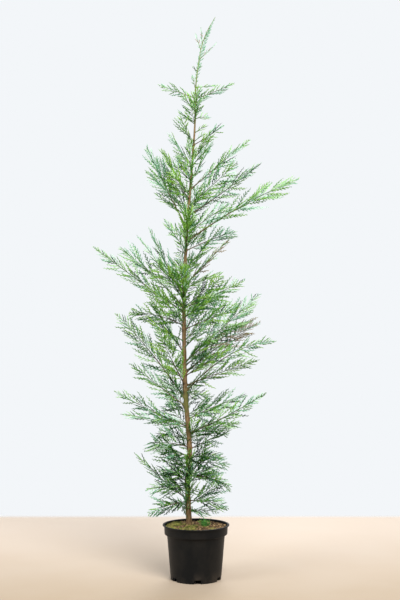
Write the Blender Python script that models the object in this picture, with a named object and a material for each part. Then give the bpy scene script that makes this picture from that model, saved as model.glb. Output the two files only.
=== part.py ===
"""Potted leyland cypress: a slim young hedging conifer, two metres tall, in a round nursery pot.

Metres, +Z up. The origin is the centre of the pot's flat underside, and the front is -Y.

- pot: a moulded tub with a collar, a flat lip and drain notches round its foot
- compost: the fill of the pot, with a crumbly top
- trunk: one tapering, wandering stem, from its flare on the compost to the nodding leader
- limb_*: the bare inner length of each main bough
- spray_*: one mass of foliage each, a stem with toothed fronds fused on

Every piece is a closed solid, and neighbours that meet keep the small clearance GAP.
"""

import math
import random
from collections import namedtuple

import bpy
from mathutils import Vector, noise
from mathutils.bvhtree import BVHTree

GAP = 0.0003
SHARP_ANGLE = math.radians(50)
UP = Vector((0, 0, 1))

# Pot
POT_HEIGHT = 0.210
POT_FOOT_RADIUS = 0.098
POT_NECK_RADIUS = 0.1128
POT_COLLAR_RADIUS = 0.1232
POT_LIP_RADIUS = 0.130
POT_COLLAR_HEIGHT = 0.036
POT_COLLAR_FLARE = 0.0008
POT_STEP_FALL = 0.003
POT_LIP_HEIGHT = 0.004
POT_EASE = 0.001
POT_WALL = 0.0022
POT_SEGMENTS = 40
DRAINS = 6
DRAIN_WIDTH = 0.026
DRAIN_HEIGHT = 0.012
DRAIN_INWARD = 0.014
DRAIN_TURN = math.radians(4)

# Compost
COMPOST_LEVEL = 0.196
COMPOST_DOME = 0.004
COMPOST_RINGS = 4
COMPOST_RELIEF = 0.0022
COMPOST_LUMPS_PER_METRE = 45
COMPOST_CALM_RADIUS = 0.03

# Trunk: height, then how far its centre stands to the right of and behind the pot's centre
TRUNK_LINE = (
    (0.1963, -0.026, 0.000),
    (0.380, -0.033, 0.004),
    (0.500, -0.025, -0.004),
    (0.730, -0.042, 0.005),
    (1.080, -0.047, 0.000),
    (1.320, -0.038, -0.006),
    (1.560, -0.020, 0.004),
    (1.790, -0.004, 0.008),
    (1.910, -0.003, 0.004),
    (2.070, 0.018, 0.000),
    (2.140, 0.040, -0.004),
    (2.205, 0.077, -0.010),
)
TRUNK_BASE_RADIUS = 0.0105
TRUNK_TIP_RADIUS = 0.0009
TRUNK_TAPER = 1.3
FLARE_RADIUS = 0.005
FLARE_HEIGHT = 0.018
TRUNK_SIDES = 8
TRUNK_STEP = 0.070

# Boughs. height: of the root on the trunk. reach, depth, rise: from there to the tip, to the
# right, to the back and up. bow: how far the middle hangs below a straight line, as a share of
# the length. spread: the longest side frond. bare: the share that is bare limb.
Bough = namedtuple("Bough", "name height reach depth rise bow spread bare")
BOUGHS = tuple(
    Bough(*row)
    for row in (
        ("top_left", 2.077, -0.022, 0.012, 0.070, 0.05, 0.020, 0),
        ("top_right", 2.040, 0.071, -0.020, 0.063, 0.08, 0.022, 0),
        ("crown_left", 1.885, -0.148, 0.030, 0.045, 0.02, 0.048, 0),
        ("crown_right", 1.881, 0.158, -0.035, 0.053, 0.03, 0.044, 0),
        ("crown_front", 1.806, 0.010, -0.120, 0.078, 0.04, 0.050, 0),
        ("upper_left_front", 1.696, -0.050, -0.115, 0.092, 0.05, 0.060, 0),
        ("upper_right", 1.700, 0.124, 0.045, 0.088, 0.04, 0.052, 0),
        ("upper_left", 1.622, -0.094, 0.085, 0.132, 0.06, 0.060, 0),
        ("long_right_1", 1.524, 0.241, 0.050, 0.196, 0.04, 0.060, 0.22),
        ("shoulder_left_front", 1.484, -0.072, -0.150, 0.088, 0.05, 0.064, 0),
        ("tall_left", 1.374, -0.170, -0.045, 0.306, 0.05, 0.090, 0.42),
        ("long_right_2", 1.418, 0.297, 0.105, 0.226, 0.03, 0.065, 0.25),
        ("shoulder_back", 1.400, 0.040, 0.190, 0.165, 0.05, 0.066, 0),
        ("long_right_3", 1.316, 0.443, -0.050, 0.236, 0.00, 0.075, 0.36),
        ("middle_front_1", 1.300, 0.014, -0.190, 0.120, 0.04, 0.064, 0),
        ("middle_right_back", 1.280, 0.205, 0.150, 0.090, -0.04, 0.065, 0),
        ("steep_right", 1.147, 0.172, -0.140, 0.168, 0.02, 0.062, 0),
        ("middle_left_back", 1.143, -0.055, 0.240, 0.120, 0.02, 0.065, 0),
        ("fan_left", 1.060, -0.259, 0.055, 0.232, -0.09, 0.085, 0.40),
        ("fan_left_top", 1.100, -0.136, -0.095, 0.262, 0.03, 0.070, 0),
        ("long_left_1", 1.041, -0.354, -0.060, 0.251, 0.02, 0.060, 0.30),
        ("middle_right", 1.056, 0.247, 0.110, 0.114, 0.02, 0.060, 0),
        ("arching_left_front", 0.986, -0.209, -0.140, 0.045, -0.12, 0.070, 0),
        ("middle_front_2", 1.084, -0.010, -0.230, 0.128, 0.02, 0.055, 0),
        ("waist_right_front", 0.970, 0.219, -0.130, 0.086, -0.02, 0.062, 0),
        ("waist_back", 0.950, 0.060, 0.270, 0.165, 0.03, 0.070, 0),
        ("waist_left_back", 0.880, -0.129, 0.215, 0.192, 0.04, 0.070, 0),
        ("long_right_4", 0.844, 0.302, 0.095, 0.255, 0.03, 0.070, 0.30),
        ("long_left_2", 0.703, -0.279, -0.075, 0.318, -0.08, 0.080, 0.24),
        ("lower_left_front", 0.755, -0.105, -0.200, 0.220, 0.02, 0.072, 0),
        ("lower_right_front", 0.789, 0.184, -0.175, 0.110, 0.00, 0.070, 0),
        ("lower_right_fan", 0.800, 0.308, 0.175, 0.186, -0.06, 0.062, 0),
        ("long_right_5", 0.719, 0.371, 0.030, 0.173, -0.10, 0.060, 0.34),
        ("lower_right", 0.750, 0.286, -0.070, 0.102, -0.02, 0.060, 0),
        ("long_left_3", 0.672, -0.224, -0.050, 0.153, 0.00, 0.062, 0),
        ("lower_back", 0.640, -0.070, 0.260, 0.110, -0.02, 0.075, 0),
        ("low_right", 0.620, 0.239, 0.080, 0.085, -0.06, 0.068, 0),
        ("long_left_4", 0.597, -0.296, 0.040, 0.130, -0.02, 0.070, 0),
        ("low_right_long", 0.565, 0.303, -0.060, 0.161, 0.05, 0.058, 0),
        ("low_left_front", 0.511, -0.155, -0.150, 0.030, -0.08, 0.072, 0),
        ("low_right_back", 0.503, 0.159, 0.150, 0.045, -0.06, 0.070, 0),
        ("low_back", 0.420, -0.030, 0.200, 0.025, -0.08, 0.070, 0),
        ("skirt_right_front", 0.400, 0.169, -0.110, -0.030, -0.12, 0.064, 0),
        ("skirt_left", 0.310, -0.214, 0.040, 0.173, 0.06, 0.056, 0),
        ("skirt_left_low", 0.298, -0.152, -0.065, -0.040, -0.10, 0.056, 0),
        ("skirt_front", 0.272, 0.055, -0.120, -0.010, -0.08, 0.050, 0),
        ("skirt_back", 0.262, -0.055, 0.130, -0.005, -0.10, 0.050, 0),
        ("skirt_right_low", 0.300, 0.162, 0.050, -0.040, -0.14, 0.056, 0),
    )
)

# Limbs and the stems of sprays
STEM_TIP_RADIUS = 0.0010
STEM_RADIUS_PER_LENGTH = 0.0062
STEM_LEAST_RADIUS = 0.0011
LIMB_SIDES = 6
STEM_SIDES = 3
SPINE_STEP = 0.045

# Fronds: toothed blades, thick along the rib and thin at the edges
FROND_STALK_HALF_WIDTH = 0.0015
FROND_BODY_SHARE = 0.055
FROND_THICKNESS = 0.0022
FROND_SHORT_TOOTH = 0.82
FROND_BODY_LENGTH = 0.86
FROND_TOOTH_SHARE = 0.56
FROND_TOOTH_ANGLE = math.radians(35)
FROND_LIFT = 0.10
FROND_STEP = 0.050
FROND_SPACING = 0.0465
FROND_ANGLE = math.radians(42)
FROND_JITTER = math.radians(24)
FAN_ROLL = math.radians(56)
TIP_FROND_SHARE = 0.30
TIP_FROND_WIDTH = 0.42
LEAST_FROND = 0.018
LENGTH_RANGE = (1.25, 1.60)
FIRST_FROND_AT_LIMB = 0.03
FIRST_FROND_AT_TRUNK = 0.16
LAST_FROND = 0.80
PLACING_TRIES = 9
PLACING_SHRINK = 0.05
PLACING_MARGIN = 0.0009

BARK = ("bark", (0.30, 0.17, 0.10), 0.85)
PLASTIC = ("pot_plastic", (0.020, 0.020, 0.021), 0.45)
COMPOST = ("compost", (0.10, 0.07, 0.04), 0.95)
GREENS = (
    ("foliage_fresh", (0.20, 0.38, 0.10), 0.60),
    ("foliage_green", (0.09, 0.24, 0.08), 0.60),
    ("foliage_glaucous", (0.22, 0.36, 0.27), 0.65),
)


def material(finish):
    """The Principled material of a (name, colour, roughness) finish, made once."""
    name, colour, roughness = finish
    made = bpy.data.materials.get(name)
    if made is None:
        made = bpy.data.materials.new(name)
        made.use_nodes = True
        shader = made.node_tree.nodes["Principled BSDF"]
        shader.inputs["Base Color"].default_value = (*colour, 1)
        shader.inputs["Roughness"].default_value = roughness
    return made


def add_object(name, points, faces, finish, origin=Vector(), smooth=False):
    """An object with its origin at `origin`, from points in the part's frame."""
    mesh = bpy.data.meshes.new(name)
    mesh.from_pydata([Vector(point) - origin for point in points], [], faces)
    if smooth:
        mesh.shade_smooth()
        mesh.set_sharp_from_angle(angle=SHARP_ANGLE)
    mesh.materials.append(material(finish))
    obj = bpy.data.objects.new(name, mesh)
    obj.location = origin
    bpy.context.scene.collection.objects.link(obj)
    return obj


def tree_of(points, faces):
    return BVHTree.FromPolygons([tuple(p) for p in points], faces)


# Centre lines


def trunk_centre(height):
    """Centre of the living trunk at a height, on a smooth cubic through TRUNK_LINE."""
    rows = [Vector((x, y, z)) for z, x, y in TRUNK_LINE]
    last = len(rows) - 1
    i = max(0, min(last - 1, sum(row.z <= height for row in rows) - 1))

    def slope(k):
        before, after = rows[max(k - 1, 0)], rows[min(k + 1, last)]
        return (after - before) / (after.z - before.z)

    span = rows[i + 1].z - rows[i].z
    t = (height - rows[i].z) / span
    return (
        rows[i] * (1 + 2 * t) * (1 - t) ** 2
        + slope(i) * span * t * (1 - t) ** 2
        + rows[i + 1] * t * t * (3 - 2 * t)
        + slope(i + 1) * span * t * t * (t - 1)
    )


def trunk_direction(height):
    above, below = trunk_centre(height + GAP), trunk_centre(height - GAP)
    return (above - below).normalized()


def trunk_radius(height):
    foot, top = TRUNK_LINE[0][0], TRUNK_LINE[-1][0]
    share = (height - foot) / (top - foot)
    flare = FLARE_RADIUS * math.exp(-(height - foot) / FLARE_HEIGHT)
    body = (TRUNK_BASE_RADIUS - TRUNK_TIP_RADIUS) * (1 - share**TRUNK_TAPER)
    return TRUNK_TIP_RADIUS + body + flare


class Trunk:
    """The trunk's rings, one above another, and where a bough can be seated on them."""

    def __init__(self):
        foot, top = TRUNK_LINE[0][0], TRUNK_LINE[-1][0]
        flare_top = foot + 1.5 * FLARE_HEIGHT
        count = round((top - flare_top) / TRUNK_STEP)
        step = (top - flare_top) / count
        self.heights = [foot, foot + FLARE_HEIGHT / 2]
        self.heights += [flare_top + step * i for i in range(count + 1)]
        self.centres = [trunk_centre(height) for height in self.heights]
        directions = [UP] + [trunk_direction(height) for height in self.heights[1:]]
        radii = [trunk_radius(height) for height in self.heights]
        self.shape = tube(self.centres, directions, radii, TRUNK_SIDES)

    def seat(self, height, outward):
        """Centre at a height, direction square to the bark, and distance out to the bark."""
        i = max(k for k in range(len(self.heights) - 1) if self.heights[k] <= height)
        t = (height - self.heights[i]) / (self.heights[i + 1] - self.heights[i])
        centre = self.centres[i].lerp(self.centres[i + 1], t)
        trunk = (self.centres[i + 1] - self.centres[i]).normalized()
        square = (outward - trunk * outward.dot(trunk)).normalized()
        points = self.shape[0]
        low, high = i * TRUNK_SIDES, (i + 1) * TRUNK_SIDES
        around = [points[low + k].lerp(points[high + k], t) for k in range(TRUNK_SIDES)]
        return centre, square, max((point - centre).dot(square) for point in around)


class Spine:
    """The curved line of one bough, from the trunk's bark to its tip."""

    def __init__(self, bough, trunk):
        outward = Vector((bough.reach, bough.depth, 0))
        centre, self.seat, bark = trunk.seat(bough.height, outward)
        self.root = centre + self.seat * (bark + GAP)
        self.tip = centre + Vector((bough.reach, bough.depth, bough.rise))
        self.length = (self.tip - self.root).length
        self.knee = (self.root + self.tip) / 2 - UP * bough.bow * self.length

    def point(self, t):
        return self.root * (1 - t) ** 2 + self.knee * 2 * t * (1 - t) + self.tip * t * t

    def direction(self, t):
        return ((self.knee - self.root) * (1 - t) + (self.tip - self.knee) * t).normalized()

    def radius(self, t):
        root = STEM_LEAST_RADIUS + STEM_RADIUS_PER_LENGTH * self.length
        return root + (STEM_TIP_RADIUS - root) * t

    def run(self, start, end):
        """Points, directions and radii along one stretch of the spine."""
        count = max(2, round((end - start) * self.length / SPINE_STEP))
        shares = [start + (end - start) * i / count for i in range(count + 1)]
        return (
            [self.point(t) for t in shares],
            [self.direction(t) for t in shares],
            [self.radius(t) for t in shares],
        )


# Round and tapering solids


def tube(points, directions, radii, sides):
    """Points and faces of a closed tube: one ring across each direction, and two caps."""
    across = directions[0].orthogonal().normalized()
    rings = []
    for point, direction, radius in zip(points, directions, radii):
        across = (across - direction * across.dot(direction)).normalized()
        beside = direction.cross(across)
        turns = [math.tau * k / sides for k in range(sides)]
        rings.append(
            [point + (across * math.cos(a) + beside * math.sin(a)) * radius for a in turns]
        )
    faces = [list(range(sides))[::-1]]
    for i in range(len(rings) - 1):
        low, high = i * sides, (i + 1) * sides
        for k in range(sides):
            after = (k + 1) % sides
            faces.append([low + k, low + after, high + after, high + k])
    faces.append([(len(rings) - 1) * sides + k for k in range(sides)])
    return [point for ring in rings for point in ring], faces


def lathe(profile, segments):
    """Points and faces of a profile of (radius, height) turned about Z, both ends on the axis."""
    points, rows = [], []
    for radius, height in profile:
        if radius == 0:
            rows.append([len(points)] * segments)
            points.append(Vector((0, 0, height)))
            continue
        rows.append([len(points) + k for k in range(segments)])
        for k in range(segments):
            a = math.tau * k / segments
            points.append(Vector((radius * math.cos(a), radius * math.sin(a), height)))
    faces = []
    for low, high in zip(rows, rows[1:]):
        for k in range(segments):
            after = (k + 1) % segments
            ring = [low[k], low[after], high[after], high[k]]
            faces.append([v for i, v in enumerate(ring) if v not in ring[:i]])
    return points, faces


def make_pot():
    """The tub: outside from the foot up, over the lip, and down the inside to the floor."""
    collar = POT_HEIGHT - POT_COLLAR_HEIGHT
    lip = POT_HEIGHT - POT_LIP_HEIGHT
    profile = (
        (0, 0),
        (POT_FOOT_RADIUS, 0),
        (POT_NECK_RADIUS, collar - POT_STEP_FALL),
        (POT_COLLAR_RADIUS - POT_EASE, collar),
        (POT_COLLAR_RADIUS, collar + POT_EASE),
        (POT_COLLAR_RADIUS + POT_COLLAR_FLARE, lip - POT_EASE),
        (POT_LIP_RADIUS, lip),
        (POT_LIP_RADIUS, POT_HEIGHT - POT_EASE),
        (POT_LIP_RADIUS - POT_EASE, POT_HEIGHT),
        (POT_COLLAR_RADIUS - POT_WALL + POT_COLLAR_FLARE, POT_HEIGHT - POT_EASE),
        (POT_COLLAR_RADIUS - POT_WALL, collar + POT_WALL),
        (POT_NECK_RADIUS - POT_WALL, collar + POT_WALL - POT_STEP_FALL),
        (POT_FOOT_RADIUS - POT_WALL, POT_WALL),
        (0, POT_WALL),
    )
    pot = add_object("pot", *lathe(profile, POT_SEGMENTS), PLASTIC, smooth=True)
    for k in range(DRAINS):
        cut_drain(pot, DRAIN_TURN - math.pi / 2 + math.tau * k / DRAINS)
    apply_modifiers(pot)
    return pot


def cut_drain(pot, turn):
    """A notch through the foot of the wall and the edge of the floor, at one bearing."""
    bpy.ops.mesh.primitive_cube_add(size=1)
    cutter = bpy.context.object
    cutter.scale = (2 * DRAIN_INWARD, DRAIN_WIDTH, 2 * DRAIN_HEIGHT)
    cutter.location = (POT_FOOT_RADIUS * math.cos(turn), POT_FOOT_RADIUS * math.sin(turn), 0)
    cutter.rotation_euler = (0, 0, turn)
    cutter.name = "drain_cutter"
    cutter.hide_render = True
    cutter.display_type = "WIRE"
    notch = pot.modifiers.new("drain", "BOOLEAN")
    notch.operation = "DIFFERENCE"
    notch.object = cutter


def apply_modifiers(obj):
    """Bakes the modifiers of an object into its mesh, and removes their helpers."""
    bpy.context.view_layer.update()
    graph = bpy.context.evaluated_depsgraph_get()
    mesh = bpy.data.meshes.new_from_object(obj.evaluated_get(graph))
    helpers = {m.object for m in obj.modifiers if m.operand_type == "OBJECT"}
    helpers |= {
        o for m in obj.modifiers if m.operand_type == "COLLECTION" for o in m.collection.objects
    }
    obj.modifiers.clear()
    obj.data = mesh
    for helper in helpers:
        bpy.data.objects.remove(helper)


def make_compost():
    """The fill of the pot: it clears the wall by GAP, and its top is domed and crumbly."""
    collar = POT_HEIGHT - POT_COLLAR_HEIGHT
    slope = (POT_NECK_RADIUS - POT_FOOT_RADIUS) / (collar - POT_STEP_FALL)
    clear = POT_WALL + GAP
    step = collar + POT_WALL + 2 * GAP
    foot = DRAIN_HEIGHT + GAP
    recess = POT_FOOT_RADIUS - DRAIN_INWARD - GAP
    edge = POT_COLLAR_RADIUS - clear
    profile = [
        (0, clear),
        (recess, clear),
        (recess, foot),
        (POT_FOOT_RADIUS + slope * foot - clear - GAP, foot),
        (POT_NECK_RADIUS - clear - GAP, step - POT_STEP_FALL),
        (edge, step),
        (edge, COMPOST_LEVEL - COMPOST_DOME),
    ]
    for k in range(COMPOST_RINGS, -1, -1):
        share = k / (COMPOST_RINGS + 1)
        profile.append((edge * share, COMPOST_LEVEL - COMPOST_DOME * share**2))
    points, faces = lathe(profile, POT_SEGMENTS // 2)
    for point in points:
        near_trunk = (point - trunk_centre(TRUNK_LINE[0][0])).length
        if point.z > COMPOST_LEVEL - COMPOST_DOME and near_trunk > COMPOST_CALM_RADIUS:
            point.z -= COMPOST_RELIEF * abs(noise.noise(point * COMPOST_LUMPS_PER_METRE))
    return add_object("compost", points, faces, COMPOST)


# Fronds and sprays


def frond(root, along, across, length, width, margin=0.0):
    """Points and faces of a toothed blade, ridged above and flat below. `margin` fattens it."""
    steps = max(2, round(length / FROND_STEP))
    normal = along.cross(across).normalized()
    reach = math.cos(FROND_TOOTH_ANGLE)
    out = math.sin(FROND_TOOTH_ANGLE)

    def rib(s):
        return root + along * (s * length) + UP * (FROND_LIFT * s * s * length)

    points = []
    for i in range(steps + 1):
        s = FROND_BODY_LENGTH * i / steps
        half = FROND_STALK_HALF_WIDTH * (1 - s / 2) + margin
        half += length * FROND_BODY_SHARE * math.sin(math.pi * s)
        below = rib(s) - normal * margin
        ridge = rib(s) + normal * (FROND_THICKNESS * (1 - s / 2) + margin)
        points += [below - across * half, ridge, below + across * half]
    faces = [[0, 1, 2]]
    for i in range(steps):
        s = FROND_BODY_LENGTH * (i + 0.5) / steps
        tooth = width * math.sin(math.pi * (0.3 + 0.6 * s)) + margin
        left, ridge, right = 3 * i, 3 * i + 1, 3 * i + 2
        left_after, ridge_after, right_after = left + 3, ridge + 3, right + 3
        tips = []
        for side in (-1, 1):
            size = tooth * (1 if (i % 2) == (side > 0) else FROND_SHORT_TOOTH)
            tips.append(len(points))
            points.append(rib(s) + along * size * reach + across * side * size * out)
        faces += [
            [ridge, left, tips[0]],
            [ridge, tips[0], ridge_after],
            [ridge_after, tips[0], left_after],
            [left, left_after, tips[0]],
            [tips[1], right, ridge],
            [ridge_after, tips[1], ridge],
            [right_after, tips[1], ridge_after],
            [right, tips[1], right_after],
            [right, right_after, left_after, left],
        ]
    end = len(points)
    points.append(rib(1) + along * margin)
    last = 3 * steps
    faces += [[last + (k + 1) % 3, last + k, end] for k in range(3)]
    return points, faces


def length_share(u):
    """Length of the side frond at share u of its spray: longest at a third, short at the tip."""
    return 0.14 + 0.86 * math.sin(math.pi * min(1, 0.22 + 0.95 * u))


def planned_fronds(bough, spine, chance):
    """Where side fronds leave a spray's stem: share of the spine, side and length."""
    grown = (1 - bough.bare) * spine.length
    count = max(3, round(grown / FROND_SPACING))
    first = FIRST_FROND_AT_LIMB if bough.bare else FIRST_FROND_AT_TRUNK
    for i in range(count):
        u = first + (LAST_FROND - first) * i / (count - 1)
        length = bough.spread * length_share(u) * chance.uniform(*LENGTH_RANGE)
        if length >= LEAST_FROND:
            yield bough.bare + (1 - bough.bare) * u, 1 if i % 2 else -1, length


def frond_axes(spine, t, side, roll):
    """The direction of a side frond, and the direction across it, in its fan's plane."""
    stem = spine.direction(t)
    level = stem.cross(UP).normalized()
    above = level.cross(stem)
    beside = (level * math.cos(roll) + above * math.sin(roll)) * side
    along = stem * math.cos(FROND_ANGLE) + beside * math.sin(FROND_ANGLE)
    across = stem * math.sin(FROND_ANGLE) - beside * math.cos(FROND_ANGLE)
    return along, across


class Plant:
    """Builds the limbs and sprays, and keeps each spray clear of everything else."""

    def __init__(self, compost, pot):
        trunk = Trunk()
        add_object("trunk", *trunk.shape, BARK, trunk.centres[0], smooth=True)
        self.solids = {"trunk": tree_of(*trunk.shape)}
        for obj in (compost, pot):
            mesh = obj.data
            self.solids[obj.name] = tree_of(
                [v.co for v in mesh.vertices], [list(p.vertices) for p in mesh.polygons]
            )
        self.shapes = {}
        self.spines = {bough.name: Spine(bough, trunk) for bough in BOUGHS}
        self.trees = {bough.name: [] for bough in BOUGHS}

    def clear(self, name, shape):
        """Whether a shape touches neither a limb nor another spray."""
        probe = tree_of(*shape)
        if any(probe.overlap(tree) for tree in self.solids.values()):
            return False
        return not any(
            probe.overlap(tree)
            for other, trees in self.trees.items()
            if other != name
            for tree in trees
        )

    def add_limb(self, bough):
        spine = self.spines[bough.name]
        points, directions, radii = spine.run(0, bough.bare)
        directions[0] = spine.seat
        shape = tube(points, directions, radii, LIMB_SIDES)
        add_object(f"limb_{bough.name}", *shape, BARK, spine.root, smooth=True)
        self.solids[f"limb_{bough.name}"] = tree_of(*shape)

    def add_stem(self, bough):
        """The woody stem that a spray's fronds are fused to."""
        spine = self.spines[bough.name]
        points, directions, radii = spine.run(bough.bare, 1 - TIP_FROND_SHARE / 2)
        if bough.bare:
            points[0] = points[0] + directions[0] * GAP
        else:
            directions[0] = spine.seat
        shape = tube(points, directions, radii, STEM_SIDES)
        self.shapes[bough.name] = [shape]
        self.trees[bough.name].append(tree_of(*shape))

    def add_tip(self, bough, chance):
        """The frond that ends a spray, in line with its stem."""
        spine = self.spines[bough.name]
        start = 1 - TIP_FROND_SHARE * (1 - bough.bare)
        root = spine.point(start)
        along = (spine.tip - root).normalized()
        length = (spine.tip - root).length / (1 + FROND_LIFT)
        level = along.cross(UP).normalized()
        above = level.cross(along)
        for _ in range(PLACING_TRIES):
            roll = chance.choice((-1, 1)) * FAN_ROLL + chance.uniform(-1, 1) * FROND_JITTER
            across = level * math.cos(roll) + above * math.sin(roll)
            width = bough.spread * TIP_FROND_WIDTH
            if self.place(bough.name, root, along, across, length, width):
                return

    def add_fronds(self, bough, chance):
        spine = self.spines[bough.name]
        lean = chance.choice((-1, 1)) * FAN_ROLL
        for t, side, length in planned_fronds(bough, spine, chance):
            for attempt in range(PLACING_TRIES):
                roll = lean + chance.uniform(-1, 1) * FROND_JITTER * (1 + attempt / 2)
                along, across = frond_axes(spine, t, side, roll)
                size = length * (1 - PLACING_SHRINK * attempt)
                width = size * FROND_TOOTH_SHARE
                if self.place(bough.name, spine.point(t), along, across, size, width):
                    break

    def place(self, name, root, along, across, length, width):
        """Adds a frond to a spray if it stays clear of the other pieces."""
        if not self.clear(name, frond(root, along, across, length, width, PLACING_MARGIN)):
            return False
        shape = frond(root, along, across, length, width)
        self.shapes[name].append(shape)
        self.trees[name].append(tree_of(*shape))
        return True

    def join_spray(self, bough, finish):
        """Fuses a spray's stem and fronds into one solid."""
        spine = self.spines[bough.name]
        origin = spine.point(bough.bare)
        stem, *fronds = self.shapes[bough.name]
        spray = add_object(f"spray_{bough.name}", *stem, finish, origin)
        group = bpy.data.collections.new("fronds")
        bpy.context.scene.collection.children.link(group)
        for shape in fronds:
            piece = add_object("frond", *shape, finish, origin)
            bpy.context.scene.collection.objects.unlink(piece)
            group.objects.link(piece)
            piece.hide_render = True
        union = spray.modifiers.new("fuse", "BOOLEAN")
        union.operation = "UNION"
        union.operand_type = "COLLECTION"
        union.collection = group
        union.solver = "MANIFOLD"
        apply_modifiers(spray)
        bpy.data.collections.remove(group)

    def grow(self):
        chances = {bough.name: random.Random(bough.name) for bough in BOUGHS}
        for bough in BOUGHS:
            if bough.bare:
                self.add_limb(bough)
        for bough in BOUGHS:
            self.add_stem(bough)
        for bough in BOUGHS:
            self.add_tip(bough, chances[bough.name])
        for bough in BOUGHS:
            self.add_fronds(bough, chances[bough.name])
        for i, bough in enumerate(BOUGHS):
            self.join_spray(bough, GREENS[i % len(GREENS)])


def main():
    for obj in list(bpy.data.objects):
        bpy.data.objects.remove(obj)
    pot = make_pot()
    compost = make_compost()
    Plant(compost, pot).grow()


main()
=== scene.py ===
"""Looks of a potted leyland cypress: bark, feathery foliage, compost and a moulded nursery pot.

Everything is in metres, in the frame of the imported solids: +Z up, the front towards -Y, and the
origin at the centre of the pot's underside. The boughs follow the same rule as the solids, and
are carried on here to side shoots, branchlets and leafy twiglets.
"""

import logging
import math
from dataclasses import dataclass, field, replace
from enum import Enum
from typing import Iterable, NamedTuple, Sequence

import bpy
import numpy as np
from bpy.types import Material, Node, NodeSocket, NodeTree, Object
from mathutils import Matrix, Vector, noise


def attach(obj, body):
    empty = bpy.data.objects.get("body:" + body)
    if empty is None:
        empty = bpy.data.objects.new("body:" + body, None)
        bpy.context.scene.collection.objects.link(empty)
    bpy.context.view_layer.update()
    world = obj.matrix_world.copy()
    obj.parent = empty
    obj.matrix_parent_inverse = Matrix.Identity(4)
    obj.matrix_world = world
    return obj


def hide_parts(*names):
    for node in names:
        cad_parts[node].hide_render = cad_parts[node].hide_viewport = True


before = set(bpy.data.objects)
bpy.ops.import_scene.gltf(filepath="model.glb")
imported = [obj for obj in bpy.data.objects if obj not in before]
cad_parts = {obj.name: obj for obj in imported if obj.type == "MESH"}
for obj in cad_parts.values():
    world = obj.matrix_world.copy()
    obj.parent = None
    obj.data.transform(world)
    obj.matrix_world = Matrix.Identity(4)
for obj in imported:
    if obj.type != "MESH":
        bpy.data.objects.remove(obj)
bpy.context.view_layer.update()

BODY = "root"
UP = np.array((0.0, 0.0, 1.0))
TINY = 1e-12

# The seed of every random draw, and the most triangles that one piece of foliage may have
SEED = 1888
LARGEST_PIECE = 190_000

Array = np.ndarray
Triple = tuple[float, float, float]
Colour = Triple
Span = tuple[float, float]

log = logging.getLogger("cypress")


# --- Small helpers ---


def srgb(red: int, green: int, blue: int) -> Colour:
    """A linear colour from the usual 0 to 255 values.

    Args:
        red: red, 0 to 255.
        green: green, 0 to 255.
        blue: blue, 0 to 255.

    Returns:
        The colour as linear red, green and blue.
    """

    def linear(value: int) -> float:
        """One channel, from the display curve to a linear share."""
        share = value / 255
        return share / 12.92 if share <= 0.04045 else ((share + 0.055) / 1.055) ** 2.4

    return linear(red), linear(green), linear(blue)


def unit(vectors: Array) -> Array:
    """Rows of an array scaled to length one."""
    return vectors / np.maximum(np.linalg.norm(vectors, axis=-1, keepdims=True), TINY)


def dot(a: Array, b: Array) -> Array:
    """Row by row dot product, kept as a column."""
    return np.sum(a * b, axis=-1, keepdims=True)


def lumpy(places: Array) -> Array:
    """Smooth noise either side of 0 at some places, with lumps about one unit wide."""
    return np.array([noise.noise(Vector(place)) for place in places])


def turns(count: int) -> Array:
    """Angles that share out a full turn."""
    return np.arange(count) * math.tau / count


def ring(count: int) -> tuple[Array, Array]:
    """The numbers of the points round a ring, and of the point after each."""
    here = np.arange(count)
    return here, (here + 1) % count


def quads_between(rings: int, sides: int, first: int = 0) -> Array:
    """The quads between rings of points that follow one another.

    Args:
        rings: how many rings.
        sides: points in each ring.
        first: number of the first ring's first point.

    Returns:
        The quads, one a row.
    """
    low = first + np.arange(rings - 1)[:, None] * sides
    here, after = ring(sides)
    corners = (low + here, low + after, low + after + sides, low + here + sides)
    return np.stack(corners, axis=-1).reshape(-1, 4)


def copies(faces: list[tuple[int, ...]], count: int, points: int) -> Array:
    """The faces of many bodies alike.

    Args:
        faces: the first body's faces.
        count: how many bodies.
        points: points in each body.

    Returns:
        The faces of all the bodies, one a row.
    """
    template = np.array(faces)
    offsets = (np.arange(count) * points)[:, None, None]
    return (template[None] + offsets).reshape(-1, template.shape[1])


def add_mesh(name: str, points: Array, faces: Iterable[Array], material: Material,
             smooth: bool = True) -> Object:
    """Makes a mesh object from arrays and puts it in the scene.

    Args:
        name: the object's name.
        points: vertex positions, one row each.
        faces: arrays of vertex indices, each with one face a row and a fixed number of corners.
        material: the finish of the whole piece.
        smooth: whether the faces are shaded smooth.

    Returns:
        The new object, at the origin.
    """
    faces = [np.asarray(rows, dtype=np.int32) for rows in faces if len(rows)]
    corners = np.concatenate([rows.ravel() for rows in faces])
    sizes = np.concatenate([np.full(len(rows), rows.shape[1]) for rows in faces])
    mesh = bpy.data.meshes.new(name)
    mesh.vertices.add(len(points))
    mesh.vertices.foreach_set("co", np.asarray(points, dtype=np.float32).ravel())
    mesh.loops.add(len(corners))
    mesh.loops.foreach_set("vertex_index", corners.astype(np.int32))
    mesh.polygons.add(len(sizes))
    mesh.polygons.foreach_set("loop_start", (np.cumsum(sizes) - sizes).astype(np.int32))
    mesh.update(calc_edges=True)
    mesh.validate()
    mesh.materials.append(material)
    if smooth:
        mesh.shade_smooth()
    obj = bpy.data.objects.new(name, mesh)
    bpy.context.scene.collection.objects.link(obj)
    return obj


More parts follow.
